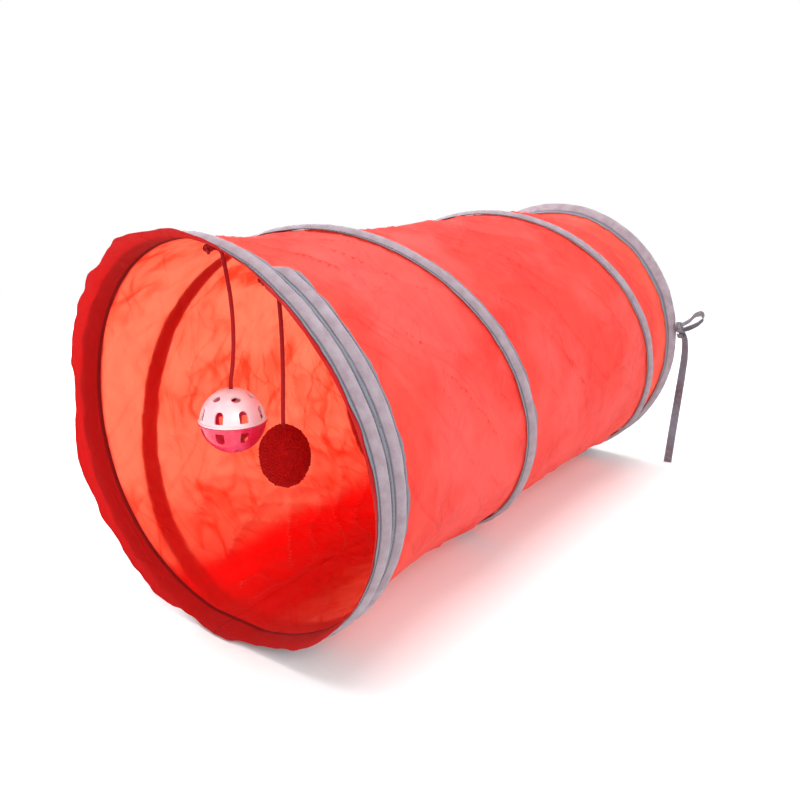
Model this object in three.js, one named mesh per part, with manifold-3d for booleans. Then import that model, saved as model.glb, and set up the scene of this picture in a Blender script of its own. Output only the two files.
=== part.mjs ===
// Collapsible cat play tunnel: a thin cloth sleeve held open by a spring-wire ring at each
// end and a spring-wire coil between them, with a bell ball and a pompom hanging in the mouth.
// Millimetres, +Z up. The tunnel lies along X, its mouth with the toys towards -X.
import * as THREE from 'three';
import { mergeVertices } from 'three/addons/utils/BufferGeometryUtils.js';
import Module from 'manifold-3d';

// Tunnel
const LENGTH = 470;              // free edge to free edge of the open sleeve
const RING_RADIUS = 125;         // outside of the tape where it crosses a wire
const CENTRE_HEIGHT = 122.5;     // the tube's weight presses the lowest 2.5 mm flat
const MOUTH_LIFT = 0.9;          // the mouth's centre sits this much higher than the rest
const MOUTH_GROWTH = 3.5;        // the mouth ring is this much larger than the rear one
const MOUTH_OVAL = 4.5;          // and pulled out of round by hand use
const MOUTH_OVAL_ANGLE = 123;    // degrees from the bottom, by the far side
const MOUTH_LOBES = 2.6;         // with a three-lobed bend as well
const MOUTH_LOBES_ANGLE = 46;
const MOUTH_FADE = 150;          // length over which the mouth's shape dies away

// Depths below the outside of the tape
const TAPE_CREST = 0.6;
const TAPE_EDGE_TOP = 3.35;
const TAPE_EDGE_UNDER = 3.95;
const WIRE_DEPTH = 2.4;
const WIRE_RADIUS = 0.9;
const SLEEVE_OUTSIDE = 4.25;
const SLEEVE_WALL = 0.6;

// Tapes
const TAPE_HALF_WIDTH = 6.85;
const CREST_HALF_WIDTH = 2.4;
const CHANNEL_TOP = 2.3;         // half width of the wire's channel under the crest
const CHANNEL_FOOT = 4.0;        // and where the tape lands on the sleeve
const MOUTH_RING_X = 7.4;
const REAR_RING_X = LENGTH - MOUTH_RING_X;

// Coil: [angle travelled in degrees, place along the tunnel]. 0 is the bottom of the tunnel,
// 90 the far side, 180 the top, 270 the near side.
const COIL_ROUTE = [
  [-157.5, 21.5], [-20, 21.5], [30, 28], [85, 52], [130, 79], [180, 114], [225, 147],
  [270, 177], [300, 192], [360, 228], [450, 280], [540, 328], [595, 374], [640, 414], [672, 441],
  [700, LENGTH - 21.5], [802.5, LENGTH - 21.5],
];
const COIL_START = -157.5;
const COIL_END = 802.5;
const STEP = 7.5;                // degrees between the stations that every band shares

// Joints in the ring wires and on the coil's ends
const FERRULE_LENGTH = 14;
const FERRULE_RADIUS = 1.5;
const FERRULE_BORE = 1.15;
const WIRE_BUTT_GAP = 0.6;
const CAP_LENGTH = 8;
const CAP_FLOOR = 1.5;

// Toys
const CORD_RADIUS = 1.3;
const CORD_SIDES = 8;
const KNOT_RADIUS = 3.3;
const KNOT_X = 8.5;
const HANG_X = 19;               // where the cords turn down
const TURN_ROOM = 2.9;           // a swinging cord stays clear of its own upper run
const BALL_Y = -3.5;
const BALL_Z = 138.5;
const BALL_RADIUS = 20;
const BALL_WALL = 1.4;
const BALL_RIM = 0.8;            // the lip round the ball's middle stands this proud
const BALL_HOLE = 1.8;
const HOLE_CUTTER_LENGTH = 10;
const BELL_RADIUS = 5.5;
const BELL_WALL = 0.5;
const BELL_SLOT = 1.4;
const PELLET_RADIUS = 1.5;
const POMPOM_Y = -46;
const POMPOM_Z = 124.5;
const POMPOM_RADII = [15, 16, 19.5];
const POMPOM_BORE = 3.6;
const GAP = 0.3;                 // air between pieces that touch

// Tie
const RIBBON_WIDTH = 7.5;
const RIBBON_THICKNESS = 0.6;
const TIE_X = 460;
const TIE_KNOT_RADII = [4.6, 3.4, 5.2];
const TIE_KNOT_Y = -128.2;
const TIE_KNOT_Z = 138;
const TAIL_X = 473;
const TAIL_TOP = 123.6;
const TAIL_OUT = 2.2;           // outwards from the middle of the knot
const SMALL_LOOP_WIDTH = 5;

const wasm = await Module();
wasm.setup();

const group = new THREE.Group();
group.position.x = -LENGTH / 2;

const finish = {
  cloth: { color: 0xf0463c, roughness: 0.7, metalness: 0 },
  tape: { color: 0xada3b0, roughness: 0.75, metalness: 0 },
  steel: { color: 0x8f9296, roughness: 0.35, metalness: 1 },
  vinyl: { color: 0x2b2b2e, roughness: 0.5, metalness: 0 },
  cord: { color: 0x8e0d10, roughness: 0.8, metalness: 0 },
  yarn: { color: 0xa00f14, roughness: 0.95, metalness: 0 },
  clear: { color: 0xf6e7ea, roughness: 0.25, metalness: 0 },
  pink: { color: 0xf0405f, roughness: 0.25, metalness: 0 },
  brass: { color: 0xd8c48a, roughness: 0.3, metalness: 1 },
};

function add(name, geometry, look) {
  const mesh = new THREE.Mesh(geometry, new THREE.MeshStandardMaterial(finish[look]));
  mesh.name = name;
  group.add(mesh);
  return mesh;
}

// --- Outline of the tunnel -------------------------------------------------------------

// Radius of the layer that lies `depth` under the tape's outside, at an angle from the
// bottom. Near the bottom the outline is the flat that the tunnel lies on.
function radiusAt(degrees, x, depth) {
  const oval = Math.cos(THREE.MathUtils.degToRad(2 * (degrees - MOUTH_OVAL_ANGLE)));
  const lobes = Math.cos(THREE.MathUtils.degToRad(3 * (degrees - MOUTH_LOBES_ANGLE)));
  const bend = MOUTH_GROWTH + MOUTH_OVAL * oval + MOUTH_LOBES * lobes;
  const round = RING_RADIUS + bend * Math.exp(-x / MOUTH_FADE) - depth;
  const down = Math.cos(THREE.MathUtils.degToRad(degrees));
  const centre = centreHeight(x);
  return down > 0 ? Math.min(round, (centre - depth) / down) : round;
}

function centreHeight(x) {
  return CENTRE_HEIGHT + MOUTH_LIFT * Math.exp(-x / MOUTH_FADE);
}

function onTunnel(degrees, x, depth) {
  const angle = THREE.MathUtils.degToRad(degrees);
  const radius = radiusAt(degrees, x, depth);
  const y = radius * Math.sin(angle);
  const z = centreHeight(x) - radius * Math.cos(angle);
  return new THREE.Vector3(x, y, z);
}

// Smooth curve through [angle, place] pairs, by Hermite pieces.
function coilPlace(degrees) {
  const last = COIL_ROUTE.length - 1;
  let i = 0;
  while (i < last - 1 && degrees > COIL_ROUTE[i + 1][0]) i += 1;
  const [a0, x0] = COIL_ROUTE[i];
  const [a1, x1] = COIL_ROUTE[i + 1];
  const t = (degrees - a0) / (a1 - a0);
  const m0 = routeSlope(i) * (a1 - a0);
  const m1 = routeSlope(i + 1) * (a1 - a0);
  const rise = t * t * (3 - 2 * t);
  return x0 + (x1 - x0) * rise + m0 * t * (1 - t) * (1 - t) - m1 * t * t * (1 - t);
}

// Slope of the route at one of its points, level where it runs beside a ring.
function routeSlope(i) {
  const [before, here, after] = [COIL_ROUTE[i - 1], COIL_ROUTE[i], COIL_ROUTE[i + 1]];
  if (!before || !after || before[1] === here[1] || here[1] === after[1]) return 0;
  return (after[1] - before[1]) / (after[0] - before[0]);
}

// --- Lofts and booleans ----------------------------------------------------------------

// Skin over a row of sections with the same number of points, closed on itself or capped.
function loft(sections, closed) {
  const size = sections[0].length;
  const points = sections.flat();
  const triangles = [];
  const spans = closed ? sections.length : sections.length - 1;
  for (let i = 0; i < spans; i += 1) {
    const a = i * size;
    const b = ((i + 1) % sections.length) * size;
    for (let j = 0; j < size; j += 1) {
      const k = (j + 1) % size;
      triangles.push(a + j, b + j, b + k, a + j, b + k, a + k);
    }
  }
  if (!closed) {
    const end = (sections.length - 1) * size;
    for (const [p, q, r] of capTriangles(sections[0])) triangles.push(p, q, r);
    for (const [p, q, r] of capTriangles(sections.at(-1))) triangles.push(end + p, end + r, end + q);
  }
  const geometry = new THREE.BufferGeometry().setFromPoints(points);
  geometry.setIndex(triangles);
  return facingOut(geometry);
}

// Ear-cut of one flat section, in the plane that the section lies in.
function capTriangles(section) {
  const centre = section.reduce((sum, p) => sum.add(p), new THREE.Vector3());
  centre.divideScalar(section.length);
  const normal = new THREE.Vector3();
  section.forEach((p, i) => {
    const next = section[(i + 1) % section.length];
    normal.add(p.clone().sub(centre).cross(next.clone().sub(centre)));
  });
  normal.normalize();
  const u = section[1].clone().sub(section[0]).normalize();
  const v = normal.clone().cross(u);
  const flat = section.map((p) => new THREE.Vector2(p.dot(u), p.dot(v)));
  return THREE.ShapeUtils.triangulateShape(flat, []);
}

// Turns every triangle over when the closed skin encloses a negative volume.
function facingOut(geometry) {
  const p = geometry.attributes.position;
  const index = geometry.index.array;
  const [a, b, c] = [new THREE.Vector3(), new THREE.Vector3(), new THREE.Vector3()];
  let volume = 0;
  for (let i = 0; i < index.length; i += 3) {
    a.fromBufferAttribute(p, index[i]);
    b.fromBufferAttribute(p, index[i + 1]);
    c.fromBufferAttribute(p, index[i + 2]);
    volume += a.dot(b.cross(c));
  }
  if (volume < 0) {
    for (let i = 0; i < index.length; i += 3) {
      [index[i + 1], index[i + 2]] = [index[i + 2], index[i + 1]];
    }
  }
  geometry.computeVertexNormals();
  return geometry;
}

function toSolid(geometry) {
  const plain = geometry.clone();
  plain.deleteAttribute('normal');
  plain.deleteAttribute('uv');
  const merged = mergeVertices(plain, 1e-4);
  const vertProperties = new Float32Array(merged.attributes.position.array);
  const triVerts = new Uint32Array(merged.index.array);
  return new wasm.Manifold(new wasm.Mesh({ numProp: 3, vertProperties, triVerts }));
}

function toGeometry(solid) {
  const { vertProperties, triVerts } = solid.getMesh();
  const geometry = new THREE.BufferGeometry();
  geometry.setAttribute('position', new THREE.Float32BufferAttribute(vertProperties, 3));
  geometry.setIndex(Array.from(triVerts));
  geometry.computeVertexNormals();
  return geometry;
}

// Closed profile of [radius, height] corners, turned about Z.
function turned(profile, sides) {
  const corners = profile.map(([r, h]) => new THREE.Vector2(r, h));
  const geometry = new THREE.LatheGeometry([...corners, corners[0]], sides);
  geometry.rotateX(Math.PI / 2);
  return facingOut(withoutSlivers(geometry));
}

// Merges the lathe's seam and drops the flat triangles where its profile meets the axis.
function withoutSlivers(geometry) {
  geometry.deleteAttribute('normal');
  geometry.deleteAttribute('uv');
  const merged = mergeVertices(geometry, 1e-4);
  const index = merged.index.array;
  const kept = [];
  for (let i = 0; i < index.length; i += 3) {
    const [a, b, c] = [index[i], index[i + 1], index[i + 2]];
    if (a !== b && b !== c && c !== a) kept.push(a, b, c);
  }
  merged.setIndex(kept);
  return merged;
}

// Moves a piece that was turned about Z so that its axis runs from one point towards another.
function aim(geometry, from, to) {
  const direction = to.clone().sub(from).normalize();
  const turn = new THREE.Quaternion().setFromUnitVectors(new THREE.Vector3(0, 0, 1), direction);
  geometry.applyQuaternion(turn);
  geometry.translate(from.x, from.y, from.z);
  return geometry;
}

// --- Sleeve ----------------------------------------------------------------------------

function stationAngles(first, last) {
  const angles = [];
  for (let a = first; a <= last + 0.001; a += STEP) angles.push(a);
  return angles;
}

function sleeve() {
  const xs = [0, 40, 90, 150, 230, 340, LENGTH];
  const inside = SLEEVE_OUTSIDE + SLEEVE_WALL;
  const sections = stationAngles(0, 360 - STEP).map((a) => [
    ...xs.map((x) => onTunnel(a, x, SLEEVE_OUTSIDE)),
    ...xs.toReversed().map((x) => onTunnel(a, x, inside)),
  ]);
  return loft(sections, true);
}

// --- Tapes: flat edges on the sleeve, a raised channel for the wire --------------------

function tapeSection(degrees, x, widen) {
  const half = TAPE_HALF_WIDTH * widen;
  const profile = [
    [-half, TAPE_EDGE_TOP], [-CREST_HALF_WIDTH, 0], [CREST_HALF_WIDTH, 0],
    [half, TAPE_EDGE_TOP], [half, TAPE_EDGE_UNDER], [CHANNEL_FOOT, TAPE_EDGE_UNDER],
    [CHANNEL_TOP, TAPE_CREST], [-CHANNEL_TOP, TAPE_CREST], [-CHANNEL_FOOT, TAPE_EDGE_UNDER],
    [-half, TAPE_EDGE_UNDER],
  ];
  return profile.map(([across, depth]) => onTunnel(degrees, x + across, depth));
}

function ringTape(x) {
  return loft(stationAngles(0, 360 - STEP).map((a) => tapeSection(a, x, 1)), true);
}

function coilTape() {
  return loft(stationAngles(COIL_START, COIL_END).map((a) => tapeSection(a, coilPlace(a), 1)));
}

// --- Wires -----------------------------------------------------------------------------

function wireSection(degrees, x) {
  const section = [];
  for (let i = 0; i < 6; i += 1) {
    const turn = (i * Math.PI) / 3;
    const across = WIRE_RADIUS * Math.cos(turn);
    const up = WIRE_RADIUS * Math.sin(turn);
    section.push(onTunnel(degrees, x + across, WIRE_DEPTH - up));
  }
  return section;
}

// A section part of the way along the straight piece between two stations.
function between(first, second, share) {
  return first.map((p, i) => p.clone().lerp(second[i], share));
}

// The ring is bent from one length of wire, and its ends butt in the middle of a ferrule.
function ringWire(x, jointAngle) {
  const angles = stationAngles(jointAngle, jointAngle + 360);
  const stations = angles.map((a) => wireSection(a, x));
  const pitch = stations[0][0].distanceTo(stations[1][0]);
  const share = 0.5 + WIRE_BUTT_GAP / 2 / pitch;
  const start = between(stations[0], stations[1], share);
  const end = between(stations[0], stations[1], 1 - share);
  return loft([start, ...stations.slice(1), end]);
}

function ferrule(x, jointAngle) {
  const half = FERRULE_LENGTH / 2;
  const tube = turned([
    [FERRULE_BORE, -half], [FERRULE_RADIUS, -half], [FERRULE_RADIUS, half], [FERRULE_BORE, half],
  ], 12);
  const from = onTunnel(jointAngle, x, WIRE_DEPTH);
  const to = onTunnel(jointAngle + STEP, x, WIRE_DEPTH);
  return aim(tube, from.clone().lerp(to, 0.5), to);
}

function coilWire() {
  const angles = stationAngles(COIL_START + STEP, COIL_END - STEP);
  return loft(angles.map((a) => wireSection(a, coilPlace(a))));
}

// Soft cap pushed over a cut end of the coil's wire, so that it can't pierce the tape.
function endCap(endAngle, inwards) {
  const inside = CAP_LENGTH - CAP_FLOOR;
  const cap = turned([
    [0, 0], [FERRULE_BORE, 0], [FERRULE_BORE, -inside], [FERRULE_RADIUS, -inside],
    [FERRULE_RADIUS, CAP_FLOOR], [0, CAP_FLOOR],
  ], 12);
  const end = onTunnel(endAngle, coilPlace(endAngle), WIRE_DEPTH);
  const along = onTunnel(endAngle + inwards, coilPlace(endAngle + inwards), WIRE_DEPTH);
  const out = end.clone().sub(along).normalize();
  const floor = end.clone().addScaledVector(out, GAP);
  return aim(cap, floor, floor.clone().add(out));
}

// --- Ball with a bell ------------------------------------------------------------------

const ballCentre = new THREE.Vector3(HANG_X, BALL_Y, BALL_Z);

// Half of a hollow ball with a lip at its middle, open below (upper half).
function halfBall() {
  const inner = BALL_RADIUS - BALL_WALL;
  const lip = BALL_RADIUS + BALL_RIM;
  const lipTop = 1.3;
  const steps = 5;
  const foot = GAP / 2;
  const profile = [[inner, foot], [lip, foot], [lip, lipTop]];
  const arc = (radius, i, first) => {
    const angle = first + ((Math.PI / 2 - first) * i) / steps;
    return [Math.max(0, radius * Math.cos(angle)), radius * Math.sin(angle)];
  };
  for (let i = 0; i <= steps; i += 1) profile.push(arc(BALL_RADIUS, i, 0.1));
  for (let i = steps; i > 0; i -= 1) profile.push(arc(inner, i, 0.01));
  return turned(profile, 20);
}

// A ring of holes through the wall, each a prism that points at the ball's centre.
function holes(count, latitude, radius, turnDegrees) {
  const cutters = [];
  for (let i = 0; i < count; i += 1) {
    const turn = THREE.MathUtils.degToRad(turnDegrees + (360 * i) / count);
    const up = THREE.MathUtils.degToRad(latitude);
    const across = Math.cos(up);
    const out = new THREE.Vector3(Math.cos(turn) * across, Math.sin(turn) * across, Math.sin(up));
    const onWall = out.clone().multiplyScalar(BALL_RADIUS);
    const prism = new THREE.CylinderGeometry(radius, radius, HOLE_CUTTER_LENGTH, 6);
    prism.rotateX(Math.PI / 2);
    cutters.push(toSolid(aim(prism, onWall, onWall.clone().add(out))));
  }
  return cutters;
}

function piercedHalf(rings) {
  let shell = toSolid(halfBall());
  for (const [count, latitude, radius, turn] of rings) {
    for (const cutter of holes(count, latitude, radius, turn)) shell = shell.subtract(cutter);
  }
  return toGeometry(shell);
}

function upperHalf() {
  const shell = piercedHalf([[8, 17, 2.7, 22.5], [6, 50, 2.2, 0], [1, 90, BALL_HOLE, 0]]);
  return shell.translate(ballCentre.x, ballCentre.y, ballCentre.z);
}

function lowerHalf() {
  const shell = piercedHalf([[8, 17, 2.7, 22.5], [6, 50, 2.2, 0]]);
  shell.rotateX(Math.PI);
  return shell.translate(ballCentre.x, ballCentre.y, ballCentre.z);
}

const bellZ = BALL_Z - (BALL_RADIUS - BALL_WALL) + GAP + BELL_RADIUS;

function bell() {
  const outer = toSolid(new THREE.SphereGeometry(BELL_RADIUS, 12, 8));
  const inner = toSolid(new THREE.SphereGeometry(BELL_RADIUS - BELL_WALL, 12, 8));
  const slot = new THREE.BoxGeometry(3 * BELL_RADIUS, BELL_SLOT, BELL_RADIUS);
  slot.translate(0, 0, -BELL_RADIUS * 0.8);
  const shell = toGeometry(outer.subtract(inner).subtract(toSolid(slot)));
  return shell.translate(HANG_X, BALL_Y, bellZ);
}

function bellPellet() {
  const pellet = withoutSlivers(new THREE.SphereGeometry(PELLET_RADIUS, 10, 8));
  pellet.translate(HANG_X, BALL_Y, bellZ - BELL_RADIUS + BELL_WALL + PELLET_RADIUS + GAP);
  return facingOut(pellet);
}

// --- Cords, knots and pompom -----------------------------------------------------------

// Height of the axis about which a toy's cord rolls: its knot just clears the sleeve.
function hangHeight(y) {
  const x = KNOT_X;
  let degrees = 180;
  for (let i = 0; i < 20; i += 1) {
    const radius = radiusAt(degrees, x, SLEEVE_OUTSIDE + SLEEVE_WALL + KNOT_RADIUS + 0.6);
    degrees = 180 + THREE.MathUtils.radToDeg(Math.asin(-y / radius));
  }
  return onTunnel(degrees, x, SLEEVE_OUTSIDE + SLEEVE_WALL + KNOT_RADIUS + 0.6).z;
}

// The knotted upper end of a cord, with the short run that turns towards the toy.
function cordKnot(y) {
  const run = HANG_X - KNOT_X - TURN_ROOM;
  const r = KNOT_RADIUS;
  const knot = turned([
    [0, -r], [0.6 * r, -0.85 * r], [r, -0.3 * r], [r, 0.3 * r], [0.6 * r, 0.85 * r],
    [CORD_RADIUS, r], [CORD_RADIUS, run], [0, run],
  ], 12);
  const from = new THREE.Vector3(KNOT_X, y, hangHeight(y));
  return aim(knot, from, from.clone().add(new THREE.Vector3(1, 0, 0)));
}

// Round tube of a limp cord along a hand-chosen route.
function cord(points, steps) {
  const section = new THREE.Shape();
  for (let i = 0; i < CORD_SIDES; i += 1) {
    const turn = (2 * Math.PI * i) / CORD_SIDES;
    const [u, v] = [CORD_RADIUS * Math.cos(turn), CORD_RADIUS * Math.sin(turn)];
    if (i === 0) section.moveTo(u, v);
    else section.lineTo(u, v);
  }
  const route = new THREE.CatmullRomCurve3(points.map((p) => new THREE.Vector3(...p)));
  return new THREE.ExtrudeGeometry(section, { steps, extrudePath: route });
}

const ballTop = BALL_Z + BALL_RADIUS;
const ballHang = hangHeight(BALL_Y);

function ballCord() {
  return cord([
    [HANG_X, BALL_Y, ballHang + CORD_RADIUS - GAP], [HANG_X, BALL_Y - 1.5, ballHang - 12],
    [HANG_X, BALL_Y - 4.5, ballHang - 30], [HANG_X, BALL_Y - 5, ballHang - 48],
    [HANG_X, BALL_Y - 2.5, ballTop + 14], [HANG_X, BALL_Y, ballTop + 3],
    [HANG_X, BALL_Y, ballTop - BALL_WALL - 1.2],
  ], 16);
}

function ballInnerKnot() {
  const r = 3.2;
  const knot = turned([[0, -r], [0.8 * r, -0.6 * r], [r, 0], [0.8 * r, 0.6 * r], [0, r]], 12);
  return knot.translate(HANG_X, BALL_Y, ballTop - BALL_WALL - 1.2 - GAP - r);
}

const pompomTop = POMPOM_Z + POMPOM_RADII[2];
const pompomHang = hangHeight(POMPOM_Y);
const POMPOM_CORE = 3.0;

function pompom() {
  const ball = new THREE.SphereGeometry(1, 18, 12);
  ball.rotateX(Math.PI / 2);
  ball.scale(...POMPOM_RADII);
  const depth = POMPOM_RADII[2] + POMPOM_CORE + GAP;
  const bore = new THREE.CylinderGeometry(POMPOM_BORE, POMPOM_BORE, depth + 2, 10);
  bore.rotateX(Math.PI / 2);
  bore.translate(0, 0, (depth + 2) / 2 - POMPOM_CORE - GAP);
  const solid = toGeometry(toSolid(ball).subtract(toSolid(bore)));
  return solid.translate(HANG_X, POMPOM_Y, POMPOM_Z);
}

function pompomCoreTie() {
  const r = POMPOM_CORE;
  const tie = turned([[0, -r], [0.8 * r, -r], [r, -0.4 * r], [r, 0.4 * r], [0.8 * r, r], [0, r]], 10);
  return tie.translate(HANG_X, POMPOM_Y, POMPOM_Z);
}

function pompomCord() {
  const [x, y] = [HANG_X, POMPOM_Y];
  return cord([
    [x, y, pompomHang + CORD_RADIUS - GAP], [x, y - 1.2, pompomHang - 16], [x, y - 1.8, pompomHang - 36],
    [x, y - 1, pompomTop + 22], [x, y, pompomTop + 6], [x, y, POMPOM_Z + POMPOM_CORE + GAP],
  ], 16);
}

// --- Tie at the rear ring --------------------------------------------------------------

// Flat ribbon along a route: at each point its width lies along `across`.
function ribbon(points, across, width, steps) {
  const route = new THREE.CatmullRomCurve3(points.map((p) => new THREE.Vector3(...p)));
  const side = new THREE.Vector3(...across).normalize().multiplyScalar(width / 2);
  const sections = [];
  for (let i = 0; i <= steps; i += 1) {
    const at = route.getPoint(i / steps);
    const face = route.getTangent(i / steps).cross(side).normalize();
    face.multiplyScalar(RIBBON_THICKNESS / 2);
    sections.push([
      at.clone().add(side).add(face), at.clone().sub(side).add(face),
      at.clone().sub(side).sub(face), at.clone().add(side).sub(face),
    ]);
  }
  return loft(sections);
}

function tieKnot() {
  const knot = new THREE.SphereGeometry(1, 14, 10);
  knot.scale(...TIE_KNOT_RADII);
  knot.translate(TIE_X, TIE_KNOT_Y, TIE_KNOT_Z);
  return facingOut(withoutSlivers(knot));
}

function tieLoop() {
  const [x, y, z] = [TIE_X, TIE_KNOT_Y - TIE_KNOT_RADII[1] - GAP, TIE_KNOT_Z];
  return ribbon([
    [x, y, z + 2.6], [x + 2, y - 4, z + 7], [x + 5, y - 9, z + 12.5], [x + 8, y - 13, z + 13.5],
    [x + 9.5, y - 14.5, z + 9.5], [x + 8, y - 11.5, z + 5], [x + 4, y - 5, z + 0.5], [x, y, z - 2.6],
  ], [0.85, 0.1, 0.1], RIBBON_WIDTH, 22);
}

// The creased little loop below the knot, from which the tail hangs.
function tieSmallLoop() {
  const [x, y, z] = [TIE_X, TIE_KNOT_Y, TIE_KNOT_Z];
  return ribbon([
    [x + 2.6, y, z - 5.2], [x + 5.5, y, z - 5.4], [x + 8.4, y, z - 7.2], [x + 9.2, y, z - 9.8],
    [x + 7, y, z - 11.1], [x + 4.2, y, z - 9.8], [x + 1.4, y, z - 6.8], [x + 0.6, y, z - 5.8],
  ], [0, 1, 0], SMALL_LOOP_WIDTH, 14);
}

function tieTail() {
  const [x, y] = [TAIL_X, TIE_KNOT_Y - TAIL_OUT];
  return ribbon([
    [x, y, TAIL_TOP], [x - 0.2, y + 0.1, 98], [x - 1.5, y + 0.8, 66], [x - 4, y + 2, 34],
    [x - 7, y + 3.6, 3],
  ], [-0.3, 0.954, 0], RIBBON_WIDTH, 16);
}

const MOUTH_JOINT = 240;
const REAR_JOINT = 120;

add('sleeve', sleeve(), 'cloth');
add('front_ring_tape', ringTape(MOUTH_RING_X), 'tape');
add('rear_ring_tape', ringTape(REAR_RING_X), 'tape');
add('coil_tape', coilTape(), 'tape');
add('front_ring_wire', ringWire(MOUTH_RING_X, MOUTH_JOINT), 'steel');
add('rear_ring_wire', ringWire(REAR_RING_X, REAR_JOINT), 'steel');
add('coil_wire', coilWire(), 'steel');
add('front_ring_ferrule', ferrule(MOUTH_RING_X, MOUTH_JOINT), 'steel');
add('rear_ring_ferrule', ferrule(REAR_RING_X, REAR_JOINT), 'steel');
add('coil_front_end_cap', endCap(COIL_START + STEP, STEP), 'vinyl');
add('coil_rear_end_cap', endCap(COIL_END - STEP, -STEP), 'vinyl');
add('ball_upper_half', upperHalf(), 'clear');
add('ball_lower_half', lowerHalf(), 'pink');
add('ball_bell', bell(), 'brass');
add('ball_bell_pellet', bellPellet(), 'steel');
add('ball_cord', ballCord(), 'cord');
add('ball_cord_knot', cordKnot(BALL_Y), 'cord');
add('ball_inner_knot', ballInnerKnot(), 'cord');
add('pompom', pompom(), 'yarn');
add('pompom_core_tie', pompomCoreTie(), 'cord');
add('pompom_cord', pompomCord(), 'cord');
add('pompom_cord_knot', cordKnot(POMPOM_Y), 'cord');
add('tie_knot', tieKnot(), 'tape');
add('tie_loop', tieLoop(), 'tape');
add('tie_small_loop', tieSmallLoop(), 'tape');
add('tie_tail', tieTail(), 'tape');

export default group;
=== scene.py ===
import math
import random

import bpy
import numpy as np
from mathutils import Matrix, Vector, noise


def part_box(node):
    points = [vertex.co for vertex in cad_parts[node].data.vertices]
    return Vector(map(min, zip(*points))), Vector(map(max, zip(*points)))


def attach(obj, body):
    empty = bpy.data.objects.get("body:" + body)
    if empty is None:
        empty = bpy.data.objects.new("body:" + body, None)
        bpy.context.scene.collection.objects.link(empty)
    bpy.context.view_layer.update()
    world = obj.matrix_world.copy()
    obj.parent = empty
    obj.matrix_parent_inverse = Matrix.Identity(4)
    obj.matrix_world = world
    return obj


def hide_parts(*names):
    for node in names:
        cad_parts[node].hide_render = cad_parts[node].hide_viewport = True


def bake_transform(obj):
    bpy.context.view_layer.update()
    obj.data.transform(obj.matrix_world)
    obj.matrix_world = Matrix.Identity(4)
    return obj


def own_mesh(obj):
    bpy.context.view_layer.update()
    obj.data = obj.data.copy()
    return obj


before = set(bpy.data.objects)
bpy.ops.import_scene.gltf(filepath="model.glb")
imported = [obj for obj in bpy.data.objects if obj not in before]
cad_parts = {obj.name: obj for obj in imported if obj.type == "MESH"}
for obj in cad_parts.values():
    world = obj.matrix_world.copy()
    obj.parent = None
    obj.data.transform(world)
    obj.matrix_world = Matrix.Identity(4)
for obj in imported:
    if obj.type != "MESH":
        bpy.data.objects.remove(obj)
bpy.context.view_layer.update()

# --- Camera ----------------------------------------------------------------------------
# Stands off the near corner of the mouth, a little higher than the tunnel, and looks along
# it and slightly down, so that both the inside and the near side of the cloth show.
EYE = (-0.5496, -0.3753, 0.2918)
LOOK_DOWN = 0.281
LOOK_ROUND = 0.6332
LEVEL = 0.0046
LENS_MM = 37.9
SENSOR_MM = 36

camera = bpy.data.objects.new("camera", bpy.data.cameras.new("camera"))
bpy.context.scene.collection.objects.link(camera)
bpy.context.scene.camera = camera
camera.data.sensor_width = SENSOR_MM
camera.data.lens = LENS_MM
camera.location = EYE
camera.rotation_euler = (math.pi / 2 - LOOK_DOWN, LEVEL, LOOK_ROUND - math.pi / 2)

# --- Toy cords -------------------------------------------------------------------------
# Two round braided cords of dyed polyester, 2.6 mm thick. Each is knotted behind the hem at
# the top of the mouth, turns down at the hem's inner edge and hangs to its toy.
MM = 0.001
TURN = 2 * math.pi
CORD_RADIUS = 1.3 * MM
CORD_SIDES = 16
CORD_STEP = 0.8 * MM
TURN_RADIUS = 5.4 * MM           # of the bend where the cord leaves its knot and hangs
KNOT_X = -226.5 * MM
HANG_X = -216 * MM
BALL_CENTRE = Vector((HANG_X, -3.5 * MM, 138.5 * MM))
BALL_RADIUS = 20 * MM
POMPOM_CENTRE = Vector((HANG_X, -46 * MM, 124.5 * MM))
POMPOM_RADII = (15 * MM, 16 * MM, 19.5 * MM)
PLAIT_PITCH = 3.2 * MM
PLAIT_LIFT = 0.09 * MM
CORD_RED = (0.48, 0.006, 0.01, 1)
CORD_GAP_SHADE = (0.2, 0.002, 0.004, 1)


class Port:
    """One output of a finish's nodes. Sums on it become Math nodes."""

    def __init__(self, finish, socket):
        self.finish = finish
        self.socket = socket

    def sum(self, operation, *values):
        return self.finish.node("ShaderNodeMath", {"operation": operation}, dict(enumerate(values)))

    def __add__(self, other):
        return self.sum("ADD", self, other)

    __radd__ = __add__

    def __mul__(self, other):
        return self.sum("MULTIPLY", self, other)

    __rmul__ = __mul__

    def __sub__(self, other):
        return self.sum("SUBTRACT", self, other)

    def __rsub__(self, other):
        return self.sum("SUBTRACT", other, self)

    def __truediv__(self, other):
        return self.sum("DIVIDE", self, other)

    def __abs__(self):
        return self.sum("ABSOLUTE", self)

    def sine(self):
        return self.sum("SINE", self)

    def wave(self, pitch):
        """A sine wave with one crest to each pitch."""
        return (self * (TURN / pitch)).sine()

    def rise(self, low, high):
        """0 below low, 1 above high, and smooth between them."""
        settings = {"interpolation_type": "SMOOTHSTEP"}
        return self.finish.node("ShaderNodeMapRange", settings, {0: self, 1: low, 2: high})

    def between(self, first, second):
        """The first colour where this is 0, the second where it is 1."""
        settings = {"data_type": "RGBA", "clamp_factor": True}
        return self.finish.node("ShaderNodeMix", settings, {0: self, 6: first, 7: second}, 2)


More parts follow.
